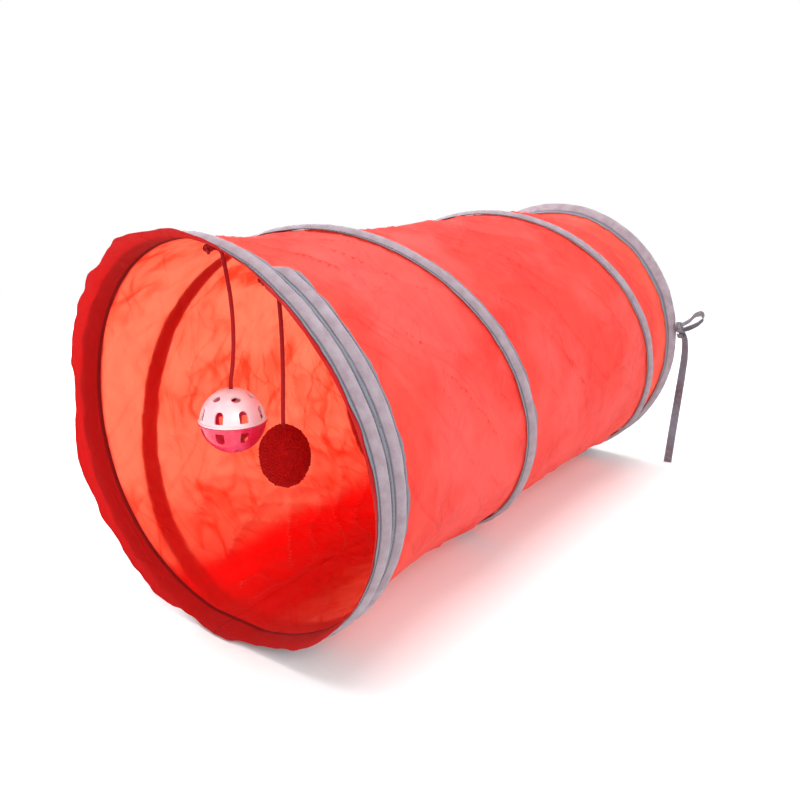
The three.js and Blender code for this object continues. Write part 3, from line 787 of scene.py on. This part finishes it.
def tape_rows(angles, places, seed, reach, tapers):
    """Loops across the tape: over its outside, round the edge and back underneath."""
    flat = np.linspace(-TAPE_HALF_WIDTH, TAPE_HALF_WIDTH, TAPE_COLUMNS)
    arch = np.clip(1 - (np.abs(flat) / CHANNEL_HALF_WIDTH) ** 1.9, 0, 1)
    groove = np.exp(-((np.abs(flat) - SEAM_AT) / (0.5 * MM)) ** 2)
    at_edge = np.clip((np.abs(flat) - SEAM_AT) / (TAPE_HALF_WIDTH - SEAM_AT), 0, 1)
    across = np.where(flat < 0, flat * reach / TAPE_HALF_WIDTH, flat)
    run = np.concatenate([[0], np.cumsum(np.diff(angles))]) * RING_RADIUS
    ends = np.minimum(run, run[-1] - run) / COIL_TAPER
    rows = []
    for angle, place, end in zip(angles, np.broadcast_to(places, angles.shape), ends):
        spot = 38 * angle
        height = 0.5 * noise.noise((spot * 0.22, seed, 1.7)) + 0.5 * noise.noise((spot * 0.9, seed, 4.2))
        lean = 0.55 * MM * noise.noise((spot * 0.3, seed, 9.1))
        left = noise.noise((spot * 0.26, seed, 15.3)) + 0.4 * noise.noise((spot * 0.8, seed, 16.3))
        right = noise.noise((spot * 0.26, seed, 27.9)) + 0.4 * noise.noise((spot * 0.8, seed, 28.9))
        wander = 0.9 * MM * noise.noise((spot * 0.13, seed, 33.3))
        wave = np.where(flat < 0, left, right)
        lift = (EDGE_DEPTH - CREST_DEPTH) * arch * (0.93 + 0.16 * height)
        depth = EDGE_DEPTH - lift + 0.16 * MM * groove - at_edge * (0.2 + 0.34 * wave) * MM
        depth = np.maximum(depth, 0)
        shift = across + wander + lean * arch + at_edge * wave * 1.5 * MM * np.sign(flat)
        if tapers and end < 1:
            share = 0.12 + 0.88 * math.sin(end * math.pi / 2)
            keep = -1 if place < LENGTH / 2 else 1
            shift = keep * TAPE_HALF_WIDTH + (shift - keep * TAPE_HALF_WIDTH) * share
            depth = np.where(share < 0.9, np.maximum(depth, EDGE_DEPTH - share * lift), depth)
        depth = depth + rear_dip(place + shift, angle)
        cloth = CLOTH_DEPTH - 0.15 * MM + rear_dip(place + shift, angle)
        low = np.minimum(depth + TAPE_THICKNESS, cloth)
        over = on_tunnel(angle, place + shift, depth)
        rows.append(np.concatenate([over, on_tunnel(angle, place + shift, low)[::-1]]))
    return np.array(rows), flat


def tape_piece(name, angles, places, seed, material, closed, reach=TAPE_HALF_WIDTH):
    rows, across = tape_rows(angles, places, seed, reach, not closed)
    middle = rows[:, TAPE_COLUMNS // 2]
    run = distances(middle)
    if closed:
        run = np.append(run, run[-1] + np.linalg.norm(middle[0] - middle[-1]))
    around = np.concatenate([across, across[::-1], across[:1]])
    piece = skin("sewn_" + name, rows, run, around, material, closed=closed, sharp=75)
    stands_for(piece, name)
    return piece


tape = tape_finish()
whole_turn = np.arange(0, TURN - 1e-6, TAPE_STEP)
front_tape_x = MOUTH_RING_X + 0.4 * MM
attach(tape_piece("front_ring_tape", whole_turn, front_tape_x, 2.2, tape, True), "front_end")
rear_tape = tape_piece("rear_ring_tape", whole_turn, REAR_RING_X, 8.8, tape, True, REAR_TAPE_REACH)
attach(rear_tape, "rear_end")
coil_turns = np.arange(COIL_FIRST, COIL_LAST + 1e-6, TAPE_STEP)
folds_up(tape_piece("coil_tape", coil_turns, coil_place(coil_turns), 5.5, tape, False))

# --- Stitching -------------------------------------------------------------------------
# Dark polyester lockstitch, ten stitches to the inch, along both edges of every tape.
STITCH_PITCH = 2.6 * MM
STITCH_LENGTH = 2.0 * MM
STITCH_RADIUS = 0.24 * MM
STITCH_SIDES = 6
THREAD = (0.09, 0.075, 0.095, 1)
THREAD_PLY_HIGHLIGHT = (0.17, 0.15, 0.18, 1)


def thread_finish():
    finish = Finish("sewing_thread")
    along, round_it = finish.places()
    ply = (along * (TURN / (0.5 * MM)) + round_it * TURN).sine()
    fluff = finish.mottle(3000)
    relief = finish.bump(ply + fluff, 0.4, 0.06 * MM)
    # Painted highlight and shade: the crests of the twisted plies are lighter and the grooves darker.
    return finish.close(ply.rise(-0.8, 0.8).between(THREAD, THREAD_PLY_HIGHLIGHT), 0.5 + fluff * 0.2, relief)


def stitch_line(angles, places, offset):
    """Start, middle and end of each stitch on one edge of a tape, on the tape's surface."""
    run = distances(on_tunnel(angles, places + offset, EDGE_DEPTH))
    starts = np.arange(0, run[-1] - STITCH_LENGTH, STITCH_PITCH)
    stitches = []
    for start in starts:
        at = start + np.array([0, 0.18, 0.5, 0.82, 1.0]) * STITCH_LENGTH
        turn, place = np.interp(at, run, angles), np.interp(at, run, places) + offset
        rise = np.array([-0.1, 0.16, 0.26, 0.16, -0.1]) * MM
        stitches.append(on_tunnel(turn, place, EDGE_DEPTH + rear_dip(place, turn) - rise))
    return stitches


def add_tube(points, faces, corners, rows, step):
    """Adds a tube with closed ends to a mesh. step is the pattern's run between two rows."""
    base, sides = len(points), len(rows[0])
    last = base + (len(rows) - 1) * sides
    points.extend(point for row in rows for point in row)
    for i in range(len(rows) - 1):
        a, b = base + i * sides, base + (i + 1) * sides
        for j in range(sides):
            k = (j + 1) % sides
            faces.append([a + j, a + k, b + k, b + j])
            u, v = i * step, j / sides
            corners += [[u, v], [u, v + 1 / sides], [u + step, v + 1 / sides], [u + step, v]]
    for end in (range(base + sides - 1, base - 1, -1), range(last, last + sides)):
        faces.append(list(end))
        corners += [[0, 0]] * sides


def stitching_piece(name, angles, places, material):
    points, faces, corners = [], [], []
    shape = np.array([0.25, 0.9, 1.0, 0.9, 0.25]) * STITCH_RADIUS
    places = np.broadcast_to(places, angles.shape).astype(float)
    for offset in (-SEAM_AT, SEAM_AT):
        for stitch in stitch_line(angles, places, offset):
            rows = tube_rows(stitch, shape, STITCH_SIDES, (1, 0, 0))
            add_tube(points, faces, corners, rows, STITCH_LENGTH / 4)
    piece = make_piece(name, points, faces, corners, material)
    return piece


thread = thread_finish()
seam_turn = np.append(whole_turn, TURN)
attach(stitching_piece("front_ring_stitching", seam_turn, front_tape_x, thread), "front_end")
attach(stitching_piece("rear_ring_stitching", seam_turn, REAR_RING_X, thread), "rear_end")
taper_turn = COIL_TAPER / RING_RADIUS
untapered = (coil_turns > COIL_FIRST + taper_turn) & (coil_turns < COIL_LAST - taper_turn)
full_width = coil_turns[untapered]
folds_up(stitching_piece("coil_stitching", full_width, coil_place(full_width), thread))

# --- Bell ball -------------------------------------------------------------------------
# A hollow ball, 40 mm across, moulded in two halves that are welded at a raised lip: milky
# above and pink below, with arched windows, and a small jingle bell loose inside.
SHELL = 1.4 * MM
BALL_RIM = 0.8 * MM
BALL_GAP = 0.15 * MM
WINDOW_LOW, WINDOW_HIGH = math.radians(8.5), math.radians(30)
WINDOW_WIDTH = 5.4 * MM
EYELET_LATITUDE = math.radians(53)
EYELET_RADIUS = 2.9 * MM
POLE_RADIUS = 1.8 * MM
MILK = (0.93, 0.86, 0.88, 1)
MILK_PAINTED_PINK_REFLECTION = (0.92, 0.68, 0.74, 1)
PINK = (0.84, 0.012, 0.075, 1)
PINK_PAINTED_LIGHT = (0.9, 0.12, 0.24, 1)
MILK_GLOW = (1.0, 0.7, 0.74, 1)
PINK_GLOW = (1.0, 0.06, 0.16, 1)
BALL_SIDES = 96


def moulded_finish(name, body, tint, glow):
    finish = Finish(name)
    flow_marks_and_painted_light = finish.mottle(70, 3)
    grain = finish.mottle(1500, 3)
    relief = finish.bump(flow_marks_and_painted_light * 0.6 + grain * 0.12, 0.25, 0.25 * MM)
    # Painted reflection and light: random patches of pink reflection on the milky half, and of lighter
    # lit pink on the pink half.
    colour = (flow_marks_and_painted_light.rise(0.35, 0.75)).between(body, tint)
    return finish.close(
        colour, 0.2 + grain * 0.12, relief, [(glow, 1)], 0.25, Coat_Weight=0.4, Coat_Roughness=0.12,
    )


def turned_piece(name, profile, sides, centre, material):
    """A turned piece: the profile's [radius, height] corners at each side."""
    turn = np.arange(sides) * TURN / sides
    profile = np.array(profile)
    rows = np.empty((sides, len(profile), 3))
    rows[..., 0] = profile[None, :, 0] * np.cos(turn)[:, None] + centre[0]
    rows[..., 1] = profile[None, :, 0] * np.sin(turn)[:, None] + centre[1]
    rows[..., 2] = profile[None, :, 1] + centre[2]
    around = np.linspace(0, 1, len(profile) + 1)
    return skin(name, rows, np.linspace(0, 1, sides + 1), around, material, closed=True, sharp=50)


def half_profile(up):
    """Half a hollow ball with a lip at its middle and a hole at its pole, as a closed loop."""
    inner = BALL_RADIUS - SHELL
    lip = BALL_RADIUS + BALL_RIM
    lip_top = 1.3 * MM
    hole = POLE_RADIUS if up > 0 else 0.35 * MM
    profile = [(inner, BALL_GAP), (lip - 0.3 * MM, BALL_GAP), (lip, BALL_GAP + 0.3 * MM)]
    profile += [(lip, lip_top - 0.3 * MM), (lip - 0.3 * MM, lip_top)]
    last = math.acos(hole / BALL_RADIUS)
    for turn in np.linspace(math.asin((lip_top + 0.2 * MM) / BALL_RADIUS), last, 26):
        profile.append((BALL_RADIUS * math.cos(turn), BALL_RADIUS * math.sin(turn)))
    for turn in np.linspace(math.acos(hole / inner), 0.02, 26):
        profile.append((inner * math.cos(turn), inner * math.sin(turn)))
    return [(radius, up * height) for radius, height in profile]


def cutter(outline, centre, out, side, near, far):
    """A prism that cuts an opening. outline is [sideways, upwards] round it, and near and far
    are its ends' distances outwards from the centre."""
    up = out.cross(side)
    rows = []
    for reach in (near, far):
        rows.append([tuple(Vector(centre) + out * reach + side * a + up * b) for a, b in outline])
    return skin("cutter", rows, [0, 1], np.linspace(0, 1, len(outline) + 1), None)


def wall_cutter(outline, turn, latitude):
    """A cutter through the ball's wall."""
    flat = math.cos(latitude)
    out = Vector((math.cos(turn) * flat, math.sin(turn) * flat, math.sin(latitude)))
    side = Vector((-math.sin(turn), math.cos(turn), 0))
    return cutter(outline, BALL_CENTRE, out, side, BALL_RADIUS * 0.8, BALL_RADIUS * 1.15)


def arch_outline(width, low, high, up):
    """A window with a flat sill and a round head, its corners softened."""
    half = width / 2
    head = [(half * math.cos(t), (high - half) + half * math.sin(t)) for t in np.linspace(0, math.pi, 13)]
    soft = 0.5 * MM
    sill = [(-half, low + soft), (-half + soft, low), (half - soft, low), (half, low + soft)]
    return [(a, up * b) for a, b in head + sill]


def oval_outline(wide, high, corners):
    return [(wide * math.cos(t), high * math.sin(t)) for t in np.arange(corners) * TURN / corners]


def cut_away(piece, cutters):
    """Takes the cutters out of a piece and removes them."""
    joined = cutters[0]
    with bpy.context.temp_override(
        active_object=joined, selected_editable_objects=cutters, selected_objects=cutters,
    ):
        bpy.ops.object.join()
    modifier = piece.modifiers.new("openings", "BOOLEAN")
    modifier.operation = "DIFFERENCE"
    modifier.solver = "EXACT"
    modifier.object = joined
    depsgraph = bpy.context.evaluated_depsgraph_get()
    mesh = bpy.data.meshes.new_from_object(piece.evaluated_get(depsgraph), depsgraph=depsgraph)
    piece.modifiers.clear()
    piece.data = mesh
    mesh.shade_smooth()
    mesh.set_sharp_from_angle(angle=math.radians(40))
    bpy.data.objects.remove(joined)


def ball_half(name, up, material):
    piece = turned_piece("moulded_" + name, half_profile(up), BALL_SIDES, BALL_CENTRE, material)
    cutters = []
    window_middle = (WINDOW_LOW + WINDOW_HIGH) / 2
    reach = BALL_RADIUS * (WINDOW_HIGH - WINDOW_LOW) / 2
    window = arch_outline(WINDOW_WIDTH, -reach, reach, up)
    eyelet = oval_outline(EYELET_RADIUS, EYELET_RADIUS * 0.8, 20)
    for turn in np.radians(np.arange(22.5, 360, 45)):
        cutters.append(wall_cutter(window, turn, up * window_middle))
    for turn in np.radians(np.arange(0, 360, 60)):
        cutters.append(wall_cutter(eyelet, turn, up * EYELET_LATITUDE))
    cut_away(piece, cutters)
    stands_for(piece, name, "ball")


milky = moulded_finish("milky_plastic", MILK, MILK_PAINTED_PINK_REFLECTION, MILK_GLOW)
pink = moulded_finish("pink_plastic", PINK, PINK_PAINTED_LIGHT, PINK_GLOW)
ball_half("ball_upper_half", 1, milky)
ball_half("ball_lower_half", -1, pink)

BELL_RADIUS = 5.5 * MM
BELL_WALL = 0.5 * MM
PLATED = (0.72, 0.6, 0.36, 1)
PLATED_DULL = (0.5, 0.38, 0.2, 1)
bell_centre = middle_of("ball_bell")


def plated_finish():
    finish = Finish("bell_plating")
    tarnish = finish.mottle(500, 4)
    relief = finish.bump(finish.mottle(1500), 0.15, 0.08 * MM)
    colour = (tarnish.rise(0.4, 0.8)).between(PLATED, PLATED_DULL)
    return finish.close(colour, 0.22 + tarnish * 0.2, relief, Metallic=1.0)


def bell_profile():
    """Two pressed cups that meet in a small rolled seam."""
    outer = []
    for turn in np.linspace(-math.pi / 2 + 0.03, math.pi / 2 - 0.03, 33):
        swell = 0.35 * MM * math.exp(-((turn / 0.09) ** 2))
        radius = BELL_RADIUS - 0.35 * MM + swell
        outer.append((radius * math.cos(turn), radius * math.sin(turn)))
    inner = BELL_RADIUS - 0.35 * MM - BELL_WALL
    lining = [(inner * math.cos(t), inner * math.sin(t)) for t in np.linspace(1.5, -1.5, 25)]
    return outer + lining


bell = turned_piece("pressed_bell", bell_profile(), 48, bell_centre, plated_finish())
slot_outline = oval_outline(BELL_RADIUS * 0.62, 0.6 * MM, 16)
for side in (Vector((1, 0, 0)), Vector((0, 1, 0))):
    up = Vector((0, 0, 1))
    slot = cutter(slot_outline, bell_centre, up, side, -BELL_RADIUS * 1.2, -BELL_RADIUS * 0.35)
    cut_away(bell, [slot])
stands_for(bell, "ball_bell", "bell")
finish_node("ball_bell_pellet", steel)

# --- Pompom ----------------------------------------------------------------------------
# A tight ball of deep red acrylic yarn, tied in the middle and clipped to an egg shape.
TUFTS = 6500
TUFT_SIDES = 4
YARN = (0.46, 0.0015, 0.0015, 1)
YARN_DEEP = (0.36, 0.0008, 0.001, 1)
DIMPLE = Vector((-0.72, -0.6, 0.2)).normalized()


def yarn_finish():
    finish = Finish("pompom_yarn")
    along, round_it = finish.places()
    fibre = finish.mottle(2200, 3)
    clump = finish.mottle(240, 3)
    ply = (along * (TURN / (1.1 * MM)) + round_it * TURN).sine()
    colour = (clump.rise(0.35, 0.65) * 0.6 + fibre * 0.4).between(YARN_DEEP, YARN)
    relief = finish.bump(fibre + ply * 0.3, 0.5, 0.3 * MM)
    return finish.close(
        colour, 0.8 + fibre * 0.15, relief, Sheen_Weight=0.1, Sheen_Roughness=0.6,
        Sheen_Tint=(1.0, 0.1, 0.08, 1), Specular_IOR_Level=0.1,
    )


def pompom_piece(material):
    """A core with short clipped ends of yarn all over it, thinner in one dimple."""
    draw = random.Random(7)
    radii = Vector(POMPOM_RADII)
    points, faces, corners = [], [], []
    rings, sides = 28, 40
    for i in range(rings + 1):
        polar = math.pi * min(max(i, 0.08), rings - 0.08) / rings
        for j in range(sides):
            turn = TURN * j / sides
            flat = math.sin(polar)
            way = Vector((flat * math.cos(turn), flat * math.sin(turn), math.cos(polar)))
            lump = 0.035 * noise.noise(way * 3.3) - 0.1 * math.exp(-((way.angle(DIMPLE) / 0.22) ** 2))
            reach = 0.9 + lump
            points.append(POMPOM_CENTRE + Vector(a * b for a, b in zip(way, radii)) * reach)
    for i in range(rings):
        for j in range(sides):
            k = (j + 1) % sides
            a, b = i * sides, (i + 1) * sides
            faces.append([a + j, b + j, b + k, a + k])
            corners += [[0, 0], [2 * MM, 0], [2 * MM, 0.1], [0, 0.1]]
    for end in (range(sides), range((rings + 1) * sides - 1, rings * sides - 1, -1)):
        faces.append(list(end))
        corners += [[0, 0]] * sides
    golden = math.pi * (3 - math.sqrt(5))
    for n in range(TUFTS):
        up = 1 - 2 * (n + 0.5) / TUFTS
        flat = math.sqrt(1 - up * up)
        way = Vector((flat * math.cos(golden * n), flat * math.sin(golden * n), up))
        way = (way + Vector((draw.gauss(0, 0.03) for _ in range(3)))).normalized()
        if way.z > 0.985:
            continue
        dimple = math.exp(-((way.angle(DIMPLE) / 0.24) ** 2))
        lump = 0.035 * noise.noise(way * 3.3)
        root_reach = 0.84 + lump - 0.1 * dimple
        root = POMPOM_CENTRE + Vector(a * b for a, b in zip(way, radii)) * root_reach
        tip_reach = 0.955 + lump + draw.uniform(-0.014, 0.014) - 0.12 * dimple
        tip = POMPOM_CENTRE + Vector(a * b for a, b in zip(way, radii)) * tip_reach
        swirl = way.cross(Vector((0.2, 0.1, 1))).normalized() * draw.uniform(-0.2, 0.7) * MM
        lean = swirl + Vector((draw.gauss(0, 0.25) * MM for _ in range(3)))
        middle = (root + tip) / 2 + lean * 0.35
        tip = tip + lean
        side = way.orthogonal().normalized()
        other = way.cross(side)
        twist = draw.uniform(0, math.pi)
        spokes = [twist + TURN * j / TUFT_SIDES for j in range(TUFT_SIDES)]
        ways = [side * math.cos(spoke) + other * math.sin(spoke) for spoke in spokes]
        widths = ((root, 0.5), (middle, 0.5), (tip, 0.36))
        rows = [[centre + way * width * MM for way in ways] for centre, width in widths]
        add_tube(points, faces, corners, rows, 1.5 * MM)
    return make_piece("clipped_pompom", points, faces, corners, material)


pompom = pompom_piece(yarn_finish())
stands_for(pompom, "pompom", "pompom_toy")

# --- Tie -------------------------------------------------------------------------------
# A flat woven ribbon, 7.5 mm wide, knotted through the rear hem with a large and a small loop.
# It ties the tunnel flat for storage. Its tail hangs free beside the rear ring.
RIBBON_WIDTH = 7.5 * MM
RIBBON_THICKNESS = 0.45 * MM
RIBBON_COLUMNS = 8
TIE_X = 225 * MM
TIE_Y = -128.2 * MM
TIE_Z = 138 * MM
TIE_KNOT_DEPTH = 3.4 * MM
TAIL_X = 238 * MM
TAIL_OUT = 2.2 * MM              # of the hanging tail from the middle of the knot
RIBBON_GREY = (0.17, 0.17, 0.205, 1)
RIBBON_PALE = (0.34, 0.36, 0.41, 1)
RIBBON_GLOW = (0.4, 0.36, 0.4, 1)
RIBBON_MAUVE = (0.11, 0.068, 0.085, 1)


def ribbon_finish():
    finish = Finish("tie_ribbon")
    along, across = finish.places()
    rib = along.wave(0.8 * MM)
    selvedge = (abs(across)).rise(2.9 * MM, 3.4 * MM)
    worn = finish.mottle(300, 4, 0.6)
    drift = finish.mottle(26, 2)
    colour = (drift.rise(0.35, 0.65)).between(RIBBON_GREY, RIBBON_MAUVE)
    colour = (worn.rise(0.45, 0.8) * 0.5 + selvedge * 0.45).between(colour, RIBBON_PALE)
    relief = finish.bump(rib * 0.25 + worn * 0.5 + selvedge * 0.4, 0.5, 0.35 * MM)
    return finish.close(
        colour, 0.5 + worn * 0.25, relief, [(RIBBON_GLOW, 1)], 0.12,
        Sheen_Weight=0.2, Sheen_Roughness=0.5,
    )


def ribbon_rows(line, across, width, seed):
    """Loops round the flat section of a ribbon, cupped a little and creased by handling. Its
    width lies along across, or turns from the first of two directions to the second."""
    turned = np.linspace(0, 1, len(line))[:, None] ** 0.7
    across = np.atleast_2d(np.array(across, float))
    side = across[0] * (1 - turned) + across[-1] * turned
    ahead = np.gradient(line, axis=0)
    ahead /= np.linalg.norm(ahead, axis=1)[:, None]
    side -= ahead * (side * ahead).sum(axis=1)[:, None]
    side /= np.linalg.norm(side, axis=1)[:, None]
    face = np.cross(ahead, side)
    spread = np.linspace(-0.5, 0.5, RIBBON_COLUMNS)
    rows = []
    for i, (point, run) in enumerate(zip(line, distances(line))):
        cup = 0.5 * MM * noise.noise((run / (14 * MM), seed, 3.3))
        wave = 0.25 * MM * noise.noise((run / (4 * MM), seed, 8.8))
        lift = cup * (1 - 4 * spread ** 2) + wave * spread * 2
        out = (lift + RIBBON_THICKNESS / 2)[:, None]
        over = point + side[i] * (spread * width)[:, None] + face[i] * out
        under = over - face[i] * RIBBON_THICKNESS
        rows.append(np.concatenate([over, under[::-1]]))
    return np.array(rows), spread * width


def ribbon_piece(name, node, line, across, width, seed, body=None):
    rows, spread = ribbon_rows(line, across, width, seed)
    run = np.linspace(0, run_length(line), len(line))
    around = np.concatenate([spread, spread[::-1], spread[:1]])
    piece = skin(name, rows, run, around, ribbon, sharp=70)
    stands_for(piece, node, body)
    return piece


def ribbon_line(start, offsets):
    """A smooth line through points given in millimetres from a start."""
    return smooth_route([[a + b * MM for a, b in zip(start, offset)] for offset in offsets], 0.7 * MM)


def knot_line():
    """The ribbon's wraps pulled tight: crumpled bands round a small bundle."""
    turn = np.linspace(0, TURN * 2.6, 150)
    climb = np.linspace(-2.4, 2.4, 150) * MM
    swell = 1 - 0.12 * np.cos(turn * 0.7)
    return np.stack([
        TIE_X + 3.9 * MM * swell * np.cos(turn),
        TIE_Y + 2.7 * MM * swell * np.sin(turn),
        TIE_Z + climb + 0.9 * MM * np.sin(turn * 0.5 + 1),
    ], axis=1)


ribbon = ribbon_finish()
loop_y = TIE_Y - TIE_KNOT_DEPTH - 0.3 * MM
loop_line = ribbon_line((TIE_X, loop_y, TIE_Z), [
    (0, 2, 2.6), (2, -4, 7), (5, -9, 12.5), (8, -13, 13.5), (9.5, -14.5, 9.5), (8, -11.5, 5),
    (4, -5, 0.5), (0, 2, -2.6),
])
loop_width = RIBBON_WIDTH * 0.9
loop_across = (0.8, 0.1, 0.45)
tie_loop = ribbon_piece(
    "woven_tie_loop", "tie_loop", loop_line, loop_across, loop_width, 1.9, "rear_end",
)
small_line = ribbon_line((TIE_X, TIE_Y, TIE_Z), [
    (2.6, 0, -5.2), (5.5, 0, -5.4), (8.4, 0, -7.2), (9.2, 0, -9.8), (7, 0, -11.1), (4.2, 0, -9.8),
    (1.4, 0, -6.8), (0.6, 0, -5.8),
])
ribbon_piece(
    "woven_tie_small_loop", "tie_small_loop", small_line, (0, 1, 0), 5 * MM, 6.1, "rear_end",
)
tail_y = TIE_Y - TAIL_OUT
tail_line = ribbon_line((TAIL_X, tail_y, 0), [
    (-6, 1.7, 134.1), (-2, 0.7, 128.6), (0, 0, 121.6), (0.2, -0.6, 108), (-0.2, 0.1, 92),
    (-1.5, 1.6, 66), (-4, 3.2, 34), (-7, 4.4, 3),
])
tail_across = ((0.6, 0.8, 0), (-0.3, 0.954, 0))
tie_tail = ribbon_piece("woven_tie_tail", "tie_tail", tail_line, tail_across, RIBBON_WIDTH, 4.4)
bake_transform(tie_tail)
ribbon_piece(
    "pulled_tie_knot", "tie_knot", knot_line(), (0.25, 0.1, 1), 4.6 * MM, 9.9, "rear_end",
)

# --- Floor and light -------------------------------------------------------------------
# A plain white table top that runs out of sight, with broad soft lamps above, in front and
# behind, bright enough to shine through the cloth.
FLOOR_REACH = 30.0
FLOOR_WHITE = (0.9, 0.9, 0.9, 1)
FLOOR_DULL = (0.89, 0.89, 0.89, 1)
WORLD_LIGHT = 0.78               # of the white surroundings, which look brighter than they shine
bpy.context.scene.view_settings.view_transform = "Standard"


def floor_finish():
    finish = Finish("floor")
    where = finish.node("ShaderNodeTexCoord", None, None, "Object")
    distance = finish.node("ShaderNodeVectorMath", {"operation": "LENGTH"}, {0: where}, "Value")
    grain = finish.mottle(60, 3)
    paint = finish.node("ShaderNodeBsdfPrincipled", None, {
        "Base Color": grain.between(FLOOR_WHITE, FLOOR_DULL), "Roughness": 0.8,
    })
    haze = finish.node("ShaderNodeEmission", None, {"Color": (1, 1, 1, 1), "Strength": 1.0})
    mix = {0: distance.rise(0.6, 1.6), 1: paint, 2: haze}
    surface = finish.node("ShaderNodeMixShader", None, mix)
    finish.node("ShaderNodeOutputMaterial", None, {"Surface": surface})
    return finish.material


square = [[0, 0], [1, 0], [1, 1], [0, 1]]
floor_corners = [((2 * a - 1) * FLOOR_REACH, (2 * b - 1) * FLOOR_REACH, 0) for a, b in square]
floor = make_piece("floor", floor_corners, [[0, 1, 2, 3]], square, floor_finish())


def soft_lamp(name, place, aim, size, power):
    lamp = bpy.data.objects.new(name, bpy.data.lights.new(name, "AREA"))
    lamp.data.shape = "DISK"
    lamp.data.size = size
    lamp.data.energy = power
    lamp.location = place
    lamp.rotation_euler = (Vector(aim) - Vector(place)).to_track_quat("-Z", "Y").to_euler()
    bpy.context.scene.collection.objects.link(lamp)


soft_lamp("top_lamp", (0.0, 0.0, 1.5), (0, 0, 0.1), 1.4, 22)
soft_lamp("front_lamp", (-0.9, -1.4, 1.0), (0, 0, 0.12), 1.0, 16)
soft_lamp("back_lamp", (0.1, 1.3, 0.45), (-0.1, 0, 0.12), 0.9, 30)

world = bpy.data.worlds.new("studio")
bpy.context.scene.world = world
world.use_nodes = True
background = world.node_tree.nodes["Background"]
background.inputs["Color"].default_value = (1, 1, 1, 1)
rays = world.node_tree.nodes.new("ShaderNodeLightPath")
strength = world.node_tree.nodes.new("ShaderNodeMapRange")
strength.inputs["To Min"].default_value = WORLD_LIGHT
world.node_tree.links.new(rays.outputs["Is Camera Ray"], strength.inputs["Value"])
world.node_tree.links.new(strength.outputs["Result"], background.inputs["Strength"])
